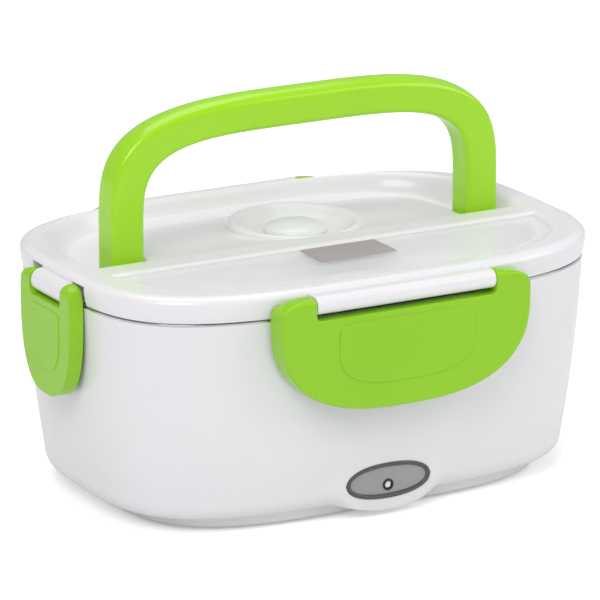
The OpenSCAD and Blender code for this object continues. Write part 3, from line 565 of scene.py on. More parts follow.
class Joinery:
    """Cuts and joins closed solids, and keeps the result as one closed mesh."""

    def __init__(self, bm: bmesh.types.BMesh) -> None:
        """Start from one solid."""
        self.holder = self._object(bm, "joinery")

    @staticmethod
    def _object(bm: bmesh.types.BMesh, name: str) -> bpy.types.Object:
        """Put a mesh into a passing object."""
        mesh = bpy.data.meshes.new(name)
        bm.to_mesh(mesh)
        bm.free()
        obj = bpy.data.objects.new(name, mesh)
        bpy.context.scene.collection.objects.link(obj)
        return obj

    def _apply(self, bm: bmesh.types.BMesh, mode: str) -> "Joinery":
        """Join or cut with one tool."""
        tool = self._object(bm, "tool")
        modifier = self.holder.modifiers.new("step", "BOOLEAN")
        modifier.operation = mode
        modifier.solver = "EXACT"
        modifier.object = tool
        mesh = bpy.data.meshes.new_from_object(self.holder.evaluated_get(bpy.context.evaluated_depsgraph_get()))
        self.holder.modifiers.clear()
        old = self.holder.data
        self.holder.data = mesh
        bpy.data.meshes.remove(old)
        tool_mesh = tool.data
        bpy.data.objects.remove(tool)
        bpy.data.meshes.remove(tool_mesh)
        return self

    def join(self, bm: bmesh.types.BMesh) -> "Joinery":
        """Join a solid on."""
        return self._apply(bm, "UNION")

    def cut(self, bm: bmesh.types.BMesh) -> "Joinery":
        """Cut a solid away."""
        return self._apply(bm, "DIFFERENCE")

    def done(self) -> bmesh.types.BMesh:
        """Take the result out and drop the passing object."""
        bm = bmesh.new()
        bm.from_mesh(self.holder.data)
        mesh = self.holder.data
        bpy.data.objects.remove(self.holder)
        bpy.data.meshes.remove(mesh)
        bmesh.ops.remove_doubles(bm, verts=bm.verts, dist=2e-3)
        bmesh.ops.dissolve_degenerate(bm, edges=bm.edges, dist=1e-3)
        return bm


# ---------------------------------------------------------------- publishing


@dataclass
class Maker:
    """Turns finished meshes into pieces that ride on the frame's bodies."""

    palette: Palette
    sharp: float = math.radians(34)
    pieces: list[str] = field(default_factory=list)

    def piece(
        self,
        bm: bmesh.types.BMesh,
        name: str,
        body: Body,
        finish: MouldedPlastic | Metal | ClearPlastic,
        stands_for: Sequence[str] = (),
    ) -> bpy.types.Object:
        """Publish one mesh.

        Args:
            bm: the mesh in millimetres, freed here.
            name: the piece's name.
            body: the body it rides on.
            finish: its finish, whose material the piece takes.
            stands_for: CAD nodes that it replaces.

        Returns:
            The piece.
        """
        bmesh.ops.scale(bm, vec=(MM, MM, MM), verts=bm.verts)
        for edge in bm.edges:
            edge.smooth = edge.is_manifold and edge.calc_face_angle(0.0) < self.sharp
        for face in bm.faces:
            face.smooth = True
        mesh = bpy.data.meshes.new(name)
        bm.to_mesh(mesh)
        bm.free()
        obj = bpy.data.objects.new(name, mesh)
        bpy.context.scene.collection.objects.link(obj)
        weighted = obj.modifiers.new("weighted", "WEIGHTED_NORMAL")
        weighted.keep_sharp = True
        weighted.weight = 80
        baked = bpy.data.meshes.new_from_object(obj.evaluated_get(bpy.context.evaluated_depsgraph_get()))
        obj.modifiers.clear()
        obj.data = baked
        bpy.data.meshes.remove(mesh)
        baked.name = name
        baked.materials.clear()
        baked.materials.append(self.palette.get(finish))
        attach(obj, body.value)
        if stands_for:
            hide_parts(*stands_for)
        self.pieces.append(name)
        LOG.info("%-18s %6d faces on %s", name, len(baked.polygons), body.value)
        return obj

    def dress(self, node: str, finish: MouldedPlastic | Metal | ClearPlastic) -> None:
        """Give a CAD node that stays a finish of its own."""
        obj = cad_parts[node]
        material = self.palette.get(finish)
        if not obj.material_slots:
            obj.data.materials.append(material)
        for place in obj.material_slots:
            place.material = material
        LOG.info("%-18s dressed as %s", node, finish.name)


# ---------------------------------------------------------------- the base


@dataclass
class Housing:
    """The drafted white outer shell with the lamp's pod."""

    outline: Outline = Outline()
    seam: float = 91.2
    wall: float = 2.4
    skirt: float = 6.7
    draft: float = 9.2
    pod_a: float = 22.6
    pod_h: float = 12.4
    pod_z: float = 15.0
    pod_y: float = 71.0

    def lean(self, z: float) -> float:
        """How far the wall stands in at a height."""
        k = (self.seam - z) / (self.seam - 14.5)
        return 7.0 * (0.45 * k + 0.55 * k * k)

    def skin(self) -> bmesh.types.BMesh:
        """The shell's closed wall, before the pod is pushed out."""
        loft = PlanLoft(self.outline, 300)
        loft.level(self.wall, self.seam)
        loft.level(self.wall, self.seam - 4)
        for z in (72, 50, 30, 14.5):
            loft.level(self.wall + self.lean(z), z)
        loft.level(self.draft + 3.4, self.skirt + self.wall)
        loft.level(self.draft + 9, self.skirt + self.wall)
        loft.level(self.draft + 9, self.skirt)
        loft.level(self.draft + 2.4, self.skirt)
        foot = 14.5
        side = self.lean(foot)
        loft.arc((self.draft + 2.4, self.skirt), (side, foot), 8, False)
        z = foot
        while z < 33:
            z += 1.8
            loft.level(self.lean(z), z)
        while z < self.seam - 4:
            z += 5.2
            loft.level(self.lean(min(z, self.seam - 1)), min(z, self.seam - 1))
        loft.level(self.lean(self.seam - 0.25) + 0.02, self.seam - 0.25)
        loft.level(0.35, self.seam)
        return loft.finish(loop=True)

    def reach(self, x: float, z: float) -> tuple[float, float]:
        """The pod's own front and its share of the surface at a place.

        Args:
            x: place along the box.
            z: height.

        Returns:
            The depth that the pod wants there and how strongly it pulls.
        """
        far = math.hypot(x / self.pod_a, (z - self.pod_z) / self.pod_h)
        pull = 1.0 - min(1.0, max(0.0, (far - 0.93) / 0.42))
        pull = pull * pull * (3 - 2 * pull)
        return self.pod_y, pull

    def build(self, maker: Maker) -> None:
        """Make the shell and its pod."""
        bm = self.skin()
        near = [
            f for f in bm.faces
            if f.normal.y < -0.3 and abs(f.calc_center_median().x) < 36 and f.calc_center_median().z < 33
            and f.calc_center_median().y < -57
        ]
        edges = {e for f in near for e in f.edges}
        bmesh.ops.subdivide_edges(bm, edges=list(edges), cuts=2, use_grid_fill=True)
        bm.normal_update()
        for vert in bm.verts:
            x, y, z = vert.co
            if abs(x) > 36 or z > 34 or y > -60 or vert.normal.y > 0.3 or vert.normal.z > 0.6:
                continue
            depth, pull = self.reach(x, z)
            vert.co.y = min(y, y - (depth + y) * pull)
            if z < self.pod_z and abs(x) < self.pod_a * 1.25:
                droop = max(0.0, 1 - (x / (self.pod_a * 1.25)) ** 2)
                share = max(0.0, (self.pod_z - z) / (self.pod_z - self.skirt))
                vert.co.z = z - 4.1 * droop * droop * min(1.0, share) ** 2
            hole = math.hypot(x / 19.2, (vert.co.z - self.pod_z) / 7.1)
            if hole < 1.0:
                vert.co.y += 2.8
        for bar in (
            ((-30, -79.8, 80.9), (30, -76, 83.9)), ((-30, 76, 80.9), (30, 79.8, 83.9)),
            ((-113.3, -12, 78.3), (-111, 12, 81.3)), ((111, -12, 78.3), (113.3, 12, 81.3)),
        ):
            absorb(bm, box_solid(*bar, 0.5))
        maker.piece(bm, "housing_shell", Body.BASE, maker.palette.finishes.shell, ["housing"])


@dataclass
class Plinth:
    """The pale grey base cover with recesses for its screws and feet."""

    outline: Outline = Outline(95.2, 63.8)
    low: float = 0.8
    top: float = 6.75
    screws: tuple[float, float] = (78.0, 24.0)
    feet: tuple[float, float] = (58.0, 44.0)
    foot_r: float = 7.0

    def build(self, maker: Maker) -> None:
        """Make the cover and its feet."""
        loft = PlanLoft(self.outline, 200)
        loft.level(4.2, self.low)
        loft.arc((4.2, self.low), (0.9, self.low + 1.6), 5, False)
        loft.level(0.0, self.top)
        loft.level(4.1, self.top)
        body = Joinery(loft.finish())
        for i in (-1, 1):
            for j in (-1, 1):
                body.cut(rod((i * self.screws[0], j * self.screws[1], self.low), 3.3, 4.4, "Z"))
                body.cut(rod((i * self.feet[0], j * self.feet[1], self.low), self.foot_r + 0.1, 2.2, "Z"))
        maker.piece(body.done(), "plinth_cover", Body.BASE, maker.palette.finishes.base, ["base_cover"])
        rubber = bmesh.new()
        for i in (-1, 1):
            for j in (-1, 1):
                absorb(rubber, rod((i * self.feet[0], j * self.feet[1], 0.98), self.foot_r, 1.96, "Z", rim=0.5))
        maker.piece(rubber, "foot_pads", Body.BASE, maker.palette.finishes.rubber, ["rubber_feet"])


@dataclass
class LampPod:
    """The oval lamp panel low on the front."""

    z: float = 15.0
    face: float = 71.6
    rim: Outline = Outline(19.7, 7.7, 2.2)

    def oval(self, steps: Sequence[tuple[float, float]], count: int = 96) -> PlanLoft:
        """A loft on the panel's outline, its heights turned to face the front.

        Args:
            steps: insets and depths from the box's centre.
            count: points round the outline.

        Returns:
            The loft, still lying flat.
        """
        loft = PlanLoft(self.rim, count)
        for inset, depth in steps:
            loft.level(inset, depth)
        return loft

    def stand(self, bm: bmesh.types.BMesh) -> bmesh.types.BMesh:
        """Turn a flat-lying mesh to face the front, at the panel's height."""
        turn = Matrix.Translation((0, 0, self.z)) @ Matrix.Rotation(math.pi / 2, 4, "X")
        bmesh.ops.transform(bm, matrix=turn, verts=bm.verts)
        return bm

    def build(self, maker: Maker) -> None:
        """Make the bezel, the plate, the black ring and the lamp."""
        fin = maker.palette.finishes
        f = self.face
        ring = self.oval([
            (0.0, f - 3.6), (0.0, f - 0.7), (0.12, f - 0.35), (0.4, f - 0.1), (0.8, f), (1.25, f - 0.02),
            (1.55, f - 0.12), (1.85, f - 0.45), (2.0, f - 0.9), (2.9, f - 3.6),
        ])
        maker.piece(self.stand(ring.finish(loop=True)), "lamp_rim", Body.BASE, fin.bezel, ["lamp_bezel"])
        plate = self.oval([(2.6, f - 3.4), (1.9, f - 1.1), (2.0, f - 0.92), (2.2, f - 0.84)])
        flat = Joinery(self.stand(plate.finish())).cut(rod((0, -f, self.z - 2), 2.5, 8, "Y", 64))
        maker.piece(flat.done(), "lamp_panel", Body.BASE, fin.plate, ["lamp_plate"])
        ring = Joinery(rod((0, -f + 1.9, self.z - 2), 2.45, 2.9, "Y", 64, rim=0.2)).cut(rod((0, -f, self.z - 2), 1.68, 9, "Y", 64))
        maker.piece(ring.done(), "lamp_collar", Body.BASE, fin.black, ["lamp_ring"])
        bulb = rod((0, -f + 3.4, self.z - 2), 1.65, 5, "Y", 48, rim=0.6)
        maker.piece(bulb, "lamp_dome", Body.BASE, fin.lamp, ["lamp_led"])


@dataclass
class Container:
    """The steel food container that hangs in the well by its flange."""

    outline: Outline = Outline()
    seam: float = 91.2
    floor: float = 30.0
    inset: float = 7.6
    lean: float = 8.6
    sheet: float = 0.8

    def build(self, maker: Maker) -> None:
        """Make the container."""
        top, foot, t = self.inset, self.inset + self.lean, self.sheet
        loft = PlanLoft(self.outline, 220)
        loft.level(foot + 9, self.floor)
        loft.arc((foot + 9, self.floor), (foot - 0.3, self.floor + 9), 8, False)
        loft.level(top + 0.1, self.seam - 1)
        loft.level(top - 0.9, self.seam)
        loft.level(0.2, self.seam)
        loft.level(0.15, self.seam + 0.2)
        loft.level(0.15, self.seam + 0.6)
        loft.level(0.25, self.seam + t)
        loft.level(top - 0.3, self.seam + t)
        loft.level(top + t + 0.1, self.seam - 1)
        loft.level(foot + t - 0.3, self.floor + 9)
        loft.arc((foot + t - 0.3, self.floor + 9), (foot + 9, self.floor + t), 8, True)
        maker.piece(loft.finish(), "steel_bowl", Body.BASE, maker.palette.finishes.steel, ["food_container"])


@dataclass
class Socket:
    """The two-pole power inlet at the rear."""

    z: float = 17.0
    face: float = 75.0
    half: Outline = Outline(16.0, 9.5, 5.0)
    gap: float = 8.6

    def build(self, maker: Maker) -> None:
        """Make the flange with its well."""
        loft = PlanLoft(self.half, 96)
        loft.level(0.0, self.face - 1.4)
        loft.level(0.0, self.face - 0.5)
        loft.arc((0.0, self.face - 0.5), (0.5, self.face), 3, True)
        flange = loft.finish()
        stand = Matrix.Translation((0, 0, self.z)) @ Matrix.Rotation(-math.pi / 2, 4, "X")
        bmesh.ops.transform(flange, matrix=stand, verts=flange.verts)
        block = box_solid((-13, self.face - 15, self.z - 6.5), (13, self.face - 1, self.z + 6.5), 0.4)
        body = Joinery(flange).join(block)
        for i in (-1, 1):
            body.cut(rod((i * self.gap / 2, self.face - 5, self.z), 4.7, 14, "Y"))
            body.cut(rod((i * self.gap / 2, self.face - 14, self.z), 1.62, 8, "Y"))
        body.cut(box_solid((-self.gap / 2, self.face - 12, self.z - 3.6), (self.gap / 2, self.face + 2, self.z + 3.6)))
        maker.piece(body.done(), "power_inlet", Body.BASE, maker.palette.finishes.black, ["inlet_body"])


# ---------------------------------------------------------------- contours


@dataclass(frozen=True)
class Contour:
    """A closed flat outline: each corner is x, y and the radius that rounds it."""

    corners: tuple[tuple[float, float, float], ...]

    def trace(self) -> list[tuple[float, float]]:
        """The outline's points, with arcs at its rounded corners."""
        out: list[tuple[float, float]] = []
        count = len(self.corners)
        for i, (x, y, r) in enumerate(self.corners):
            here = Vector((x, y))
            if r <= 0:
                out.append((x, y))
                continue
            before = (Vector(self.corners[i - 1][:2]) - here).normalized()
            after = (Vector(self.corners[(i + 1) % count][:2]) - here).normalized()
            half = before.angle(after) / 2
            reach = r / math.tan(half)
            centre = here + (before + after).normalized() * (r / math.sin(half))
            start, end = here + before * reach, here + after * reach
            for k in range(9):
                way = start.lerp(end, k / 8) - centre
                out.append(tuple(centre + way.normalized() * r))
        return out

    def even(self, count: int) -> list[tuple[float, float]]:
        """Evenly spaced points along the outline."""
        pts = self.trace()
        runs = [0.0]
        for a, b in zip(pts, pts[1:] + pts[:1]):
            runs.append(runs[-1] + math.dist(a, b))
        out, k = [], 0
        for i in range(count):
            want = runs[-1] * i / count
            while runs[k + 1] < want:
                k += 1
            share = (want - runs[k]) / max(runs[k + 1] - runs[k], 1e-9)
            a, b = pts[k], pts[(k + 1) % len(pts)]
            out.append((a[0] + (b[0] - a[0]) * share, a[1] + (b[1] - a[1]) * share))
        return out


def prism(contour: Contour, count: int, low: float, high: float, rims: tuple[float, float] = (0.0, 0.0), segments: int = 4) -> bmesh.types.BMesh:
    """A contour extruded from low to high along Z, its end rims rounded.

    Args:
        contour: the outline.
        count: points round it.
        low: lower end.
        high: upper end.
        rims: radii of the lower and the upper rim.
        segments: how finely the rims are rounded.

    Returns:
        The closed solid.
    """
    pts = contour.even(count)
    loft = Loft(count)
    for z in (low, high):
        loft.ring(lambda turn, z=z: Vector((*pts[round(turn * count) % count], z)))
    bm = loft.finish()
    for z, rim in ((low, rims[0]), (high, rims[1])):
        if rim > 0:
            edges = [
                e for e in bm.edges
                if all(abs(v.co.z - z) < 1e-4 for v in e.verts) and any(abs(f.normal.z) < 0.5 for f in e.link_faces)
            ]
            bmesh.ops.bevel(
                bm, geom=edges, offset=rim, offset_type="OFFSET", segments=segments, profile=0.5,
                affect="EDGES", material=-1, clamp_overlap=True,
            )
    return bm


# ---------------------------------------------------------------- the lid


@dataclass
class Lid:
    """The white lid: rear well for the handle, ridge, front tray and steam dish."""

    outline: Outline = Outline()
    base: float = 92.2
    top: float = 103.1
    rear: CutOutline = CutOutline(100.0, 74.0, 3.45, limit=-6.0, rear=True, soft=2.5, steep=0.45)
    front: CutOutline = CutOutline(99.0, 68.0, 3.45, limit=-21.5, rear=False, soft=1.6)
    tray: CutOutline = CutOutline(94.4, 63.4, 3.45, limit=-24.7, rear=False, soft=2.0)
    tray_floor: float = 90.1
    ledge: float = 100.8
    vent: tuple[float, float] = (6.0, 18.2)
    lug_x: float = 73.3
    axis: tuple[float, float] = (2.3, 97.0)
    long_bar: tuple[float, float, float, float] = (41.3, 82.4, 97.8, 3.8)
    short_bar: tuple[float, float, float, float] = (13.4, 114.7, 95.2, 4.7)
    short_slot: tuple[float, float] = (23.0, 5.5)

    def well_floor(self, y: float) -> float:
        """Height of the handle's trench, which rises towards the rear."""
        return 89.25 + 0.1 * (y - self.axis[0])

    def cap(self) -> bmesh.types.BMesh:
        """The lid's outer form as a solid slab."""
        loft = PlanLoft(self.outline, 300)
        for inset, z in ((2.4, self.base), (0.6, self.base), (0.2, 92.45), (-0.05, 92.9), (-0.65, 95.6), (-1.0, 98.2)):
            loft.level(inset, z)
        loft.level(-1.1, 100.0)
        loft.arc((-1.1, 100.0), (3.4, self.top), 10, True)
        return loft.finish()

    def well(self, grow: float = 0.0) -> bmesh.types.BMesh:
        """The hollow in which the handle stands and folds down, or with grow the pan round it."""
        loft = PlanLoft(self.rear, 260)
        steps = (
            (7.4, 0.0), (6.6, 0.035), (5.6, 0.1), (4.6, 0.19), (3.6, 0.3), (2.6, 0.43), (1.6, 0.57), (0.6, 0.7),
            (-0.4, 0.81), (-1.3, 0.895), (-2.2, 0.955), (-3.0, 0.99), (-3.6, 1.002),
        )
        for inset, share in steps:
            def height(y: float, share: float = share) -> float:
                """Height of the ring at y."""
                low = self.well_floor(y) - (1.15 if grow else 0.0)
                return low + (self.top - (2.6 if grow else 0.0) - low) * share

            loft.level((min(inset, 2.0) if grow else inset) - grow, height)
        if not grow:
            loft.level(-4.0, self.top + 0.05)
            loft.level(-4.0, self.top + 4)
        return loft.finish()

    def deck(self) -> bmesh.types.BMesh:
        """The gently falling deck between the two arms, round the steam vent."""
        count = 200
        half, rise, start = 75.2, 37.4, 15.0

        def path(turn: float, inset: float) -> tuple[float, float]:
            """A point of the deck's outline: an arch behind the ridge, closed along it."""
            if turn < 0.75:
                t = math.pi * turn / 0.75
                c, s = math.cos(t), max(0.0, math.sin(t))
                x = (half - inset) * math.copysign(abs(c) ** 0.5, c)
                return x, self.axis[0] + start + (rise - inset) * math.sqrt(s) - 1.4
            k = (turn - 0.75) / 0.25
            return -(half - inset) + 2 * (half - inset) * k, -12.0

        loft = Loft(count)
        for inset, drop in ((0.0, 14.0), (0.0, 2.2), (0.15, 1.3), (0.5, 0.6), (1.1, 0.18), (2.0, 0.0)):
            def shape(turn: float, inset: float = inset, drop: float = drop) -> Vector:
                """A point of the ring, its height following the deck."""
                x, y = path(turn, inset)
                top = self.top - 0.8 - 0.075 * (y - self.rear.limit)
                return Vector((x, y, top - drop))

            loft.ring(shape)
        return loft.finish()

    def tray_hollow(self, grow: float = 0.0) -> bmesh.types.BMesh:
        """The front recess above the clear cover's ledge, or the pan round it."""
        loft = PlanLoft(self.front, 240)
        if grow:
            loft.level(-grow, self.ledge - grow)
            loft.level(-grow, self.top - 1.5)
            return loft.finish()
        deep = self.top - self.ledge
        for inset, share in ((0.4, 0.0), (0.0, 0.04), (0.0, 0.3), (-0.05, 0.5), (-0.25, 0.68), (-0.6, 0.82), (-1.1, 0.92), (-1.8, 0.98), (-2.5, 1.002)):
            loft.level(inset, self.ledge + deep * share)
        loft.level(-2.9, self.top + 0.05)
        loft.level(-2.9, self.top + 4)
        return loft.finish()

    def spoon_hollow(self, grow: float = 0.0) -> bmesh.types.BMesh:
        """The hollow under the clear cover where the spoon lies."""
        loft = PlanLoft(self.tray, 220)
        low = self.tray_floor - grow
        loft.level(3.0 - grow, low)
        loft.level(1.4 - grow, low + 0.3)
        loft.level(0.4 - grow, low + 1.2)
        loft.level(0.0 - grow, low + 2.6)
        loft.level(0.0 - grow, self.ledge + (0.6 if not grow else -0.2))
        return loft.finish()

    def dish(self) -> bmesh.types.BMesh:
        """The steam vent's collar with its dish."""
        profile = [
            (0, 96.0), (28.8, 96.0), (28.8, 100.4), (28.7, 101.3), (28.4, 102.0), (27.9, 102.55), (27.2, 102.88),
            (26.4, 103.0), (25.6, 102.88), (24.6, 102.4), (23.2, 101.5), (21.6, 100.3), (20.0, 99.25), (18.6, 98.5),
            (17.4, 98.12), (16.2, 98.0), (0, 98.0),
        ]
        return spun(profile, self.vent, 128)

    def hinge_bar(self, side: Side) -> bmesh.types.BMesh:
        """One of the four bars that the latches hang on."""
        long = side in (Side.FRONT, Side.REAR)
        half, reach, z, r = self.long_bar if long else self.short_bar
        back = 6.3 if long else 3.0
        section = Contour(((-r, -r, r * 0.93), (back, -r, 0.0), (back, r, 0.0), (-r, r, r * 0.93)))
        bm = prism(section, 90, -half, half, (0.9, 0.9) if long else (2.2, 2.2))
        lie = Matrix(((0, 0, 1, 0), (1, 0, 0, -reach), (0, 1, 0, z), (0, 0, 0, 1)))
        bmesh.ops.transform(bm, matrix=Matrix.Rotation(math.radians(side.value), 4, "Z") @ lie, verts=bm.verts)
        return bm

    def build(self, maker: Maker) -> None:
        """Cut and join the lid, then make its inner plate and seal."""
        fin = maker.palette.finishes
        body = Joinery(self.cap())
        body.join(self.well(2.0)).join(self.tray_hollow(2.0)).join(self.spoon_hollow(2.0))
        body.cut(self.well()).cut(self.tray_hollow()).cut(self.spoon_hollow())
        body.join(self.deck())
        half, reach, height, _ = self.short_bar
        end, r = self.short_slot
        for i in (-1, 1):
            for j in (-1, 1):
                body.cut(rod((i * reach, j * (half + end) / 2, height), r, end - half, "Y", 64))
        body.cut(rod((*self.vent, 104.0), 27.2, 16.0, "Z", 128))
        body.join(self.dish())
        for side in Side:
            body.join(self.hinge_bar(side))
        y, z = self.axis
        for i in (-1, 1):
            body.cut(rod((i * (self.lug_x + 0.2), y, z), 3.08, 7.0, "X", 48))
            for j in (-1, 1):
                body.cut(rod((j * (self.long_bar[0] - 1.2), i * self.long_bar[1], self.long_bar[2]), 1.7, 4.4, "X", 32))
                body.cut(rod((i * reach, j * (half - 1.2), height), 1.7, 4.4, "Y", 32))
        body.cut(rod((*self.vent, 96.0), 4.08, 12.0, "Z", 48))
        maker.piece(body.done(), "lid_top", Body.LID, fin.lid, ["lid_shell"])
        self.inner(maker)
        self.seal(maker)

    def inner(self, maker: Maker) -> None:
        """The inner plate that closes the lid from below."""
        loft = PlanLoft(self.outline, 200)
        loft.level(14.0, 85.6)
        loft.arc((14.0, 85.6), (9.4, 88.0), 6, False)
        loft.level(8.7, 92.8)
        loft.level(2.42, 92.8)
        loft.level(2.42, 93.6)
        loft.level(10.4, 93.6)
        loft.level(11.0, 88.6)
        loft.level(14.0, 87.2)
        body = Joinery(loft.finish())
        half, reach, height, _ = self.short_bar
        end, r = self.short_slot
        for i in (-1, 1):
            for j in (-1, 1):
                body.cut(rod((i * reach, j * (half + end) / 2, height), r, end - half, "Y", 64))
        for q in range(6):
            a = math.radians(60 * q)
            body.cut(rod((self.vent[0] + 6 * math.cos(a), self.vent[1] + 6 * math.sin(a), 86.5), 1.2, 6, "Z", 24))
        maker.piece(body.done(), "lid_plate", Body.LID, maker.palette.finishes.lid, ["lid_inner"])

    def seal(self, maker: Maker) -> None:
        """The silicone ring that lies on the container's flange."""
        loft = PlanLoft(self.outline, 220)
        for inset, z in ((3.2, 92.15), (3.2, 92.75), (8.5, 92.75), (8.75, 91.9), (8.7, 91.6), (8.45, 91.4), (8.2, 91.4), (7.6, 92.05), (5.0, 92.05)):
            loft.level(inset, z)
        maker.piece(loft.finish(loop=True), "seal_ring", Body.LID, maker.palette.finishes.seal, ["lid_seal"])


@dataclass
class SteamValve:
    """The domed steam valve in the dish."""

    centre: tuple[float, float] = (6.0, 18.2)
    radius: float = 13.3
    floor: float = 98.0

    def build(self, maker: Maker) -> None:
        """Spin the dome and its stem."""
        f, r = self.floor, self.radius
        profile = [(0, f - 4.6), (3.6, f - 4.6), (3.99, f - 4.2), (3.99, f + 0.06), (r - 0.4, f + 0.06), (r, f + 0.4), (r, f + 1.2)]
        profile += [(r * math.cos(a), f + 1.2 + 3.6 * math.sin(a)) for a in [math.pi / 2 * k / 14 for k in range(1, 14)]]
        profile.append((0, f + 4.8))
        maker.piece(spun(profile, self.centre, 96), "steam_dome", Body.VALVE, maker.palette.finishes.valve, ["vent_valve"])


@dataclass(frozen=True)
class CoverOutline(CutOutline):
    """The clear cover's outline, whose right end is an arc that leaves a finger gap."""

    centre: tuple[float, float] = (41.6, -12.0)
    radius: float = 57.0

    def point(self, t: float, inset: float = 0.0) -> tuple[float, float]:
        """A point at angle t, held back by the arc."""
        x, y = super().point(t, inset)
        cx, cy = self.centre
        r = self.radius - inset
        if x > cx and math.hypot(x - cx, y - cy) > r:
            x = cx + math.sqrt(max(0.0, r * r - (y - cy) ** 2))
        return x, y


@dataclass
class SpoonTray:
    """What lies in the front recess: the spoon, the clear cover and its label."""

    opening: CutOutline = CoverOutline(98.6, 67.6, 3.45, limit=-21.9, rear=False, soft=1.6)
    low: float = 100.85
    high: float = 102.3

    def cover(self, maker: Maker) -> None:
        """The clear cover."""
        loft = PlanLoft(self.opening, 240)
        loft.level(1.2, self.low)
        loft.level(0.3, self.low)
        loft.level(0.0, self.low + 0.2)
        loft.level(0.0, self.high - 0.5)
        loft.arc((0.0, self.high - 0.5), (0.5, self.high), 3, True)
        loft.level(1.5, self.high)
        maker.piece(loft.finish(), "clear_window", Body.CLEAR_LID, maker.palette.finishes.clear, ["spoon_cover"])

    def label(self, maker: Maker) -> None:
        """The bare grey label."""
        plate = Contour(((-15.1, -42.8, 0.5), (20.1, -42.8, 0.5), (20.1, -23.6, 0.5), (-15.1, -23.6, 0.5)))
        bm = prism(plate, 80, self.high + 0.01, self.high + 0.26, (0.0, 0.08))
        maker.piece(bm, "bare_label", Body.CLEAR_LID, maker.palette.finishes.label, ["cover_label"])

    def spoon(self, maker: Maker) -> None:
        """The spoon, a bowl on a flat handle."""
        centre, y0, z0, length = 34.0, -45.0, 90.1, 128.0
        stations = 64

        def half_width(s: float) -> float:
            """Half width at a share of the length from the bowl's tip."""
            x = s * length
            bowl = 15.0 * math.sqrt(max(0.0, 1 - ((x - 23) / 23) ** 2)) if x < 46 else 0.0
            stem = 3.6 + 2.0 * max(0.0, (x - 46) / 82) ** 1.5
            end = math.sqrt(max(0.0, min(1.0, (length - x) / 5.5) * (2 - min(1.0, (length - x) / 5.5))))
            return max(bowl, stem * min(1.0, x / 30) * max(end, 0.02)) + 0.05

        loft = Loft(40)
        for k in range(stations + 1):
            s = (1 - math.cos(math.pi * k / stations)) / 2
            w, x = half_width(s), centre + 23 - s * length
            deep = 4.2 * max(0.0, 1 - ((s * length - 23) / 25) ** 2)
            lift = 2.0 * math.sin(math.pi * min(1.0, max(0.0, (s * length - 40) / 60)))

            def ring(turn: float, w: float = w, x: float = x, deep: float = deep, lift: float = lift) -> Vector:
                """A point of the thin section, upper side first."""
                a = 2 * math.pi * turn
                u = math.cos(a)
                skin = 0.75 * math.copysign(abs(math.sin(a)) ** 0.6, math.sin(a))
                dip = -deep * (1 - u * u)
                return Vector((x, y0 + w * u, z0 + 4.9 + dip + skin + lift * 0.4))

            loft.ring(ring)
        maker.piece(loft.finish(), "white_spoon", Body.LID, maker.palette.finishes.spoon, ["spoon"])

    def build(self, maker: Maker) -> None:
        """Make the three pieces."""
        self.cover(maker)
        self.label(maker)
        self.spoon(maker)


# ---------------------------------------------------------------- the handle


@dataclass
class Handle:
    """The green bail: two arms and a crowned carrying bar, swept as one."""

    half: float = 91.0
    arm: float = 14.6
    depth: float = 7.2
    top: float = 162.3
    shoulder: float = 112.0
    bar: float = 12.3
    crown: float = 3.0
    axis_y: float = 2.3
    axis_z: float = 97.0
    edge: float = 1.9

    def curve(self, t: float, half: float, rise: float, power: float) -> Vector:
        """A point of the bail's outer or inner curve in the XZ plane."""
        c, s = math.cos(t), max(0.0, math.sin(t))
        return Vector((half * math.copysign(abs(c) ** (2 / power), c), self.shoulder + rise * s ** (2 / power)))

    def section(self, inner: Vector, outer: Vector, crown: float) -> Shape:
        """One rounded section between an inner and an outer point."""
        width, h, r = (outer - inner).length, self.depth, self.edge
        u = (outer - inner).normalized()
        corners = ((0, -h, r), (width, -h, r), (width, h, r), (0, h, r))
        pts = Contour(corners).even(72)

        def shape(turn: float) -> Vector:
            """A point of the section."""
            a, n = pts[round(turn * 72) % 72]
            if a > width * 0.5:
                a += crown * (1 - (n / h) ** 2)
            return Vector((inner.x + u.x * a, self.axis_y + n, inner.y + u.y * a))

        return shape

    def build(self, maker: Maker) -> None:
        """Sweep the bail and join its round ends and trunnions."""
        loft = Loft(72)
        inner_half, steps = self.half - self.arm, 110
        loft.ring(self.section(Vector((inner_half, self.axis_z)), Vector((self.half, self.axis_z)), 0.0))
        for k in range(steps + 1):
            t = math.pi * k / steps
            outer = self.curve(t, self.half, self.top - self.shoulder, 3.7)
            inner = self.curve(t, inner_half, self.top - self.bar - self.shoulder, 4.0)
            loft.ring(self.section(inner, outer, self.crown * math.sin(t) ** 2))
        loft.ring(self.section(Vector((-inner_half, self.axis_z)), Vector((-self.half, self.axis_z)), 0.0))
        body = Joinery(loft.finish())
        for i in (-1, 1):
            x = i * (self.half - self.arm / 2)
            body.join(rod((x, self.axis_y, self.axis_z), self.depth, self.arm, "X", 64, rim=self.edge))
            x = i * (self.half - self.arm - 2.0)
            body.join(rod((x, self.axis_y, self.axis_z), 3.0, 5.9, "X", 48, rim=0.3))
        maker.piece(body.done(), "carry_bail", Body.BAIL, maker.palette.finishes.grip, ["handle"])


# ---------------------------------------------------------------- the latches


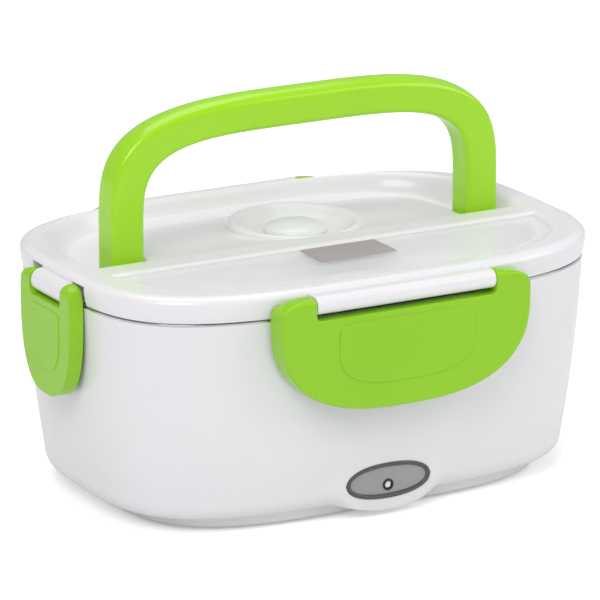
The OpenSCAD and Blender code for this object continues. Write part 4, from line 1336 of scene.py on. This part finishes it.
@dataclass
class Latch:
    """A green snap latch: hinge ears, a notch for the lid's bar and a long D plate."""

    node: str
    body: Body
    side: Side
    half: float
    bar: float
    drop: float
    nose: float
    reach: float
    height: float
    panel: tuple[float, float, float]
    body_outline: Outline | None
    back: float
    ear: float
    notch: float
    wall: float = 2.2

    def edge(self, inset: float, turn: float) -> tuple[float, float]:
        """A point of the plate's outline without its notch, at an angle."""
        c, s = math.cos(turn), math.sin(turn)
        power = 5.0 if s > 0 else 2.6
        reach = (self.ear + 8 if s > 0 else self.drop - 8) - inset
        x = (self.half - inset) * math.copysign(abs(c) ** (2 / power), c)
        return x, -8 + reach * math.copysign(abs(s) ** (2 / power), s)

    def outline(self) -> Contour:
        """The plate's outline with its notch."""
        inner = self.bar + 0.3
        start = math.acos((inner / self.half) ** 2.5)
        corners = []
        steps = 160
        for k in range(steps + 1):
            turn = start - (math.pi + 2 * start) * k / steps
            corners.append((*self.edge(0.0, turn), 0.0))
        top = corners[0][1]
        corners[0] = (inner, top, 1.5)
        corners[-1] = (-inner, top, 1.5)
        corners += [(-inner, self.notch, 2.0), (inner, self.notch, 2.0)]
        return Contour(tuple(corners))

    @staticmethod
    def upright(bm: bmesh.types.BMesh) -> bmesh.types.BMesh:
        """Stand a flat-lying plate up: its height becomes Z and its front faces -Y."""
        bmesh.ops.rotate(bm, cent=(0, 0, 0), matrix=Matrix.Rotation(math.pi / 2, 3, "X"), verts=bm.verts)
        return bm

    def hollow(self, low: float, high: float, x0: float, x1: float) -> bmesh.types.BMesh:
        """The hollow behind the plate, trimmed to a window."""
        pts = [self.edge(self.wall, 2 * math.pi * k / 96) for k in range(96)]
        bm = prism(Contour(tuple((x, y, 0.0) for x, y in pts)), 96, -10.0, self.ear - self.wall)
        self.upright(bm)
        for point, normal in (((0, 0, low), (0, 0, -1)), ((0, 0, high), (0, 0, 1)), ((x0, 0, 0), (-1, 0, 0)), ((x1, 0, 0), (1, 0, 0))):
            geom = list(bm.verts) + list(bm.edges) + list(bm.faces)
            cut = bmesh.ops.bisect_plane(bm, geom=geom, plane_co=point, plane_no=normal, clear_outer=True)["geom_cut"]
            edges = [g for g in cut if isinstance(g, bmesh.types.BMEdge)]
            if edges:
                bmesh.ops.edgeloop_fill(bm, edges=edges)
        bmesh.ops.recalc_face_normals(bm, faces=bm.faces)
        return bm

    def round_ears(self, bm: bmesh.types.BMesh) -> None:
        """Bend the ears' tops round the hinge axis."""
        for k in range(9):
            z = self.ear * math.sin(math.pi / 2 * k / 9)
            geom = list(bm.verts) + list(bm.edges) + list(bm.faces)
            bmesh.ops.bisect_plane(bm, geom=geom, plane_co=(0, 0, z), plane_no=(0, 0, 1))
        for vert in bm.verts:
            if vert.co.z <= 0:
                continue
            share = math.sqrt(max(0.0, 1 - (vert.co.z / (self.ear + 0.02)) ** 2))
            if vert.co.y < 0:
                vert.co.y *= share
            else:
                vert.co.y = min(vert.co.y, self.ear * share)

    def plate(self) -> bmesh.types.BMesh:
        """The whole latch in its own frame."""
        bm = prism(self.outline(), 220, -7.0 if self.body_outline else -self.back, self.ear, (0.0, 1.5), segments=5)
        self.upright(bm)
        self.round_ears(bm)
        inner, pocket = self.bar + 0.3, self.notch - self.wall
        body = Joinery(bm)
        body.cut(self.hollow(-self.drop - 1, pocket, -self.half, self.half))
        body.cut(self.hollow(-20, 1.8, -self.half, -inner - self.wall))
        body.cut(self.hollow(-20, 1.8, inner + self.wall, self.half))
        n, d = self.nose, 17.3
        if self.body_outline:
            body.cut(box_solid((-n - 1, self.back, -self.drop - 2), (n + 1, 14, 0)))
            near = PlanLoft(self.body_outline, 240)
            near.level(0.0, -self.drop - 2)
            near.level(0.0, 12.0)
            box = near.finish()
            bmesh.ops.translate(box, vec=(0, self.reach, 0), verts=box.verts)
            body.cut(box)
        body.join(box_solid((-n, -self.ear + 1, -d - 2.2), (n, self.back, -d), 0.3))
        for i in (-1, 1):
            lo, hi = min(i * n, i * (n - 1.6)), max(i * n, i * (n - 1.6))
            body.join(box_solid((lo, -self.ear + 1, -d - 7), (hi, self.back - 1, -d - 0.4), 0.25))
            body.join(rod((i * (inner - 1.1), 0, 0), 1.6, 3.8, "X", 32, rim=0.25))
        bm = body.done()
        half, top, low = self.panel
        mid = (top + low) / 2 + 4
        pts = []
        for k in range(120):
            a = 2 * math.pi * k / 120
            c, s = math.cos(a), math.sin(a)
            power, reach = (9.0, top - mid) if s > 0 else (3.0, mid - low)
            pts.append((half * math.copysign(abs(c) ** (2 / power), c), mid + reach * math.copysign(abs(s) ** (2 / power), s), 0.0))
        raised = self.upright(prism(Contour(tuple(pts)), 120, self.ear - 0.6, self.ear + 0.4, (0.0, 0.35), segments=3))
        return absorb(bm, raised)

    def build(self, maker: Maker) -> None:
        """Make the latch and bring it to its side."""
        bm = self.plate()
        turn = Matrix.Rotation(math.radians(self.side.value), 4, "Z")
        bmesh.ops.transform(bm, matrix=turn @ Matrix.Translation((0, -self.reach, self.height)), verts=bm.verts)
        maker.piece(bm, self.node + "_clip", self.body, maker.palette.finishes.latch, [self.node])


def latches() -> list[Latch]:
    """The two long latches and the two short ones."""
    long = dict(
        half=57.6, bar=41.3, drop=46.2, nose=34.0, reach=82.4, height=97.8, panel=(31.5, -8.4, -35.3),
        body_outline=Outline(114.7, 78.7), back=2.4, ear=4.1, notch=-5.8,
    )
    short = dict(
        half=22.0, bar=13.4, drop=44.6, nose=14.0, reach=114.7, height=95.2, panel=(12.6, -7.9, -34.0),
        body_outline=None, back=1.2, ear=5.2, notch=-5.3,
    )
    return [
        Latch("latch_front", Body.FRONT, Side.FRONT, **long),
        Latch("latch_rear", Body.REAR, Side.REAR, **long),
        Latch("latch_left", Body.LEFT, Side.LEFT, **short),
        Latch("latch_right", Body.RIGHT, Side.RIGHT, **short),
    ]


# ---------------------------------------------------------------- the studio


@dataclass
class Studio:
    """Camera, lamps, white surroundings and the pale floor."""

    camera_at: tuple[float, float, float] = (-0.97138, -1.74452, 0.65836)
    yaw: float = 29.0656
    pitch: float = 16.3345
    lens: float = 300.0

    def camera(self) -> None:
        """Stand the camera where the photograph was taken from."""
        data = bpy.data.cameras.new("camera")
        data.lens = self.lens
        data.sensor_width = 36.0
        data.clip_end = 50.0
        obj = bpy.data.objects.new("camera", data)
        obj.location = self.camera_at
        obj.rotation_euler = (math.radians(90 - self.pitch), 0.0, math.radians(-self.yaw))
        bpy.context.scene.collection.objects.link(obj)
        bpy.context.scene.camera = obj

    def lamp(self, name: str, at: Sequence[float], aim: Sequence[float], size: float, power: float) -> None:
        """Hang one soft square lamp.

        Args:
            name: its name.
            at: where it hangs.
            aim: the point it faces.
            size: length of its side.
            power: its power in watts.
        """
        data = bpy.data.lights.new(name, "AREA")
        data.shape = "SQUARE"
        data.size = size
        data.energy = power
        obj = bpy.data.objects.new(name, data)
        obj.location = at
        obj.rotation_euler = (Vector(aim) - Vector(at)).to_track_quat("-Z", "Y").to_euler()
        bpy.context.scene.collection.objects.link(obj)

    def world(self) -> None:
        """White to the camera and to rays through clear parts, soft grey as a light."""
        world = bpy.data.worlds.new("studio")
        world.use_nodes = True
        tree = world.node_tree
        tree.nodes.clear()
        out = tree.nodes.new("ShaderNodeOutputWorld")
        plain = tree.nodes.new("ShaderNodeBackground")
        plain.inputs["Color"].default_value = (1, 1, 1, 1)
        plain.inputs["Strength"].default_value = 0.45
        white = tree.nodes.new("ShaderNodeBackground")
        white.inputs["Color"].default_value = (1, 1, 1, 1)
        white.inputs["Strength"].default_value = 1.0
        path = tree.nodes.new("ShaderNodeLightPath")
        mix = tree.nodes.new("ShaderNodeMixShader")
        seen = tree.nodes.new("ShaderNodeMath")
        seen.operation = "MAXIMUM"
        tree.links.new(path.outputs["Is Camera Ray"], seen.inputs[0])
        tree.links.new(path.outputs["Is Transmission Ray"], seen.inputs[1])
        tree.links.new(seen.outputs[0], mix.inputs["Fac"])
        tree.links.new(plain.outputs[0], mix.inputs[1])
        tree.links.new(white.outputs[0], mix.inputs[2])
        tree.links.new(mix.outputs[0], out.inputs["Surface"])
        bpy.context.scene.world = world

    def floor(self) -> None:
        """A wide pale floor that shows white and keeps the box's shadow."""
        bm = bmesh.new()
        bmesh.ops.create_grid(bm, x_segments=1, y_segments=1, size=6.0)
        mesh = bpy.data.meshes.new("floor")
        bm.to_mesh(mesh)
        bm.free()
        obj = bpy.data.objects.new("floor", mesh)
        bpy.context.scene.collection.objects.link(obj)
        nodes = Nodes("floor_white")
        nodes.set(Roughness=0.9, Specular_IOR_Level=0.1)
        nodes.shader.inputs["Base Color"].default_value = (0.9, 0.9, 0.9, 1)
        glow = nodes.add("ShaderNodeEmission")
        glow.inputs["Strength"].default_value = 0.28
        path = nodes.add("ShaderNodeLightPath")
        times = nodes.add("ShaderNodeMath")
        times.operation = "MULTIPLY"
        times.inputs[1].default_value = 0.36
        nodes.link(path.outputs["Is Camera Ray"], times.inputs[0])
        nodes.link(times.outputs[0], glow.inputs["Strength"])
        total = nodes.add("ShaderNodeAddShader")
        nodes.link(nodes.shader.outputs["BSDF"], total.inputs[0])
        nodes.link(glow.outputs[0], total.inputs[1])
        nodes.link(total.outputs[0], nodes.output.inputs["Surface"])
        mesh.materials.append(nodes.material)

    def build(self) -> None:
        """Set the whole studio."""
        self.camera()
        self.world()
        self.floor()
        self.lamp("key", (-1.6, -1.5, 2.2), (0, 0, 0.07), 1.6, 38)
        self.lamp("fill", (2.0, -1.4, 1.4), (0, 0, 0.07), 1.6, 18)
        self.lamp("top", (0.2, 0.6, 2.4), (0, 0, 0.1), 1.8, 17)
        view = bpy.context.scene.view_settings
        view.view_transform = "Standard"


# ---------------------------------------------------------------- the whole box


@dataclass(frozen=True)
class Dressing:
    """Finishes for the CAD nodes that stay as they are."""

    def rows(self, fin: Finishes) -> dict[str, MouldedPlastic | Metal]:
        """The finish of each node."""
        return {
            "well_liner": fin.well, "base_screws": fin.screw, "heating_plate": fin.aluminium,
            "ptc_heater": fin.heater, "heater_clamp": fin.clamp, "clamp_screws": fin.screw,
            "thermostat": fin.black, "thermal_fuse": fin.ceramic, "inlet_pins": fin.pin,
            "lead_wires": fin.lead, "led_board": fin.board,
        }

    def build(self, maker: Maker) -> None:
        """Dress them."""
        for node, finish in self.rows(maker.palette.finishes).items():
            maker.dress(node, finish)


def main() -> None:
    """Build the studio and the box, piece by piece, and log how many pieces there are."""
    logging.basicConfig(level=logging.INFO, format="%(message)s", stream=sys.stdout)
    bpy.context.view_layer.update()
    Studio().build()
    maker = Maker(Palette(Finishes()))
    Housing().build(maker)
    Plinth().build(maker)
    LampPod().build(maker)
    Container().build(maker)
    Socket().build(maker)
    Lid().build(maker)
    SteamValve().build(maker)
    SpoonTray().build(maker)
    Handle().build(maker)
    for latch in latches():
        latch.build(maker)
    Dressing().build(maker)
    LOG.info("%d pieces", len(maker.pieces))


if __name__ == "__main__":
    main()
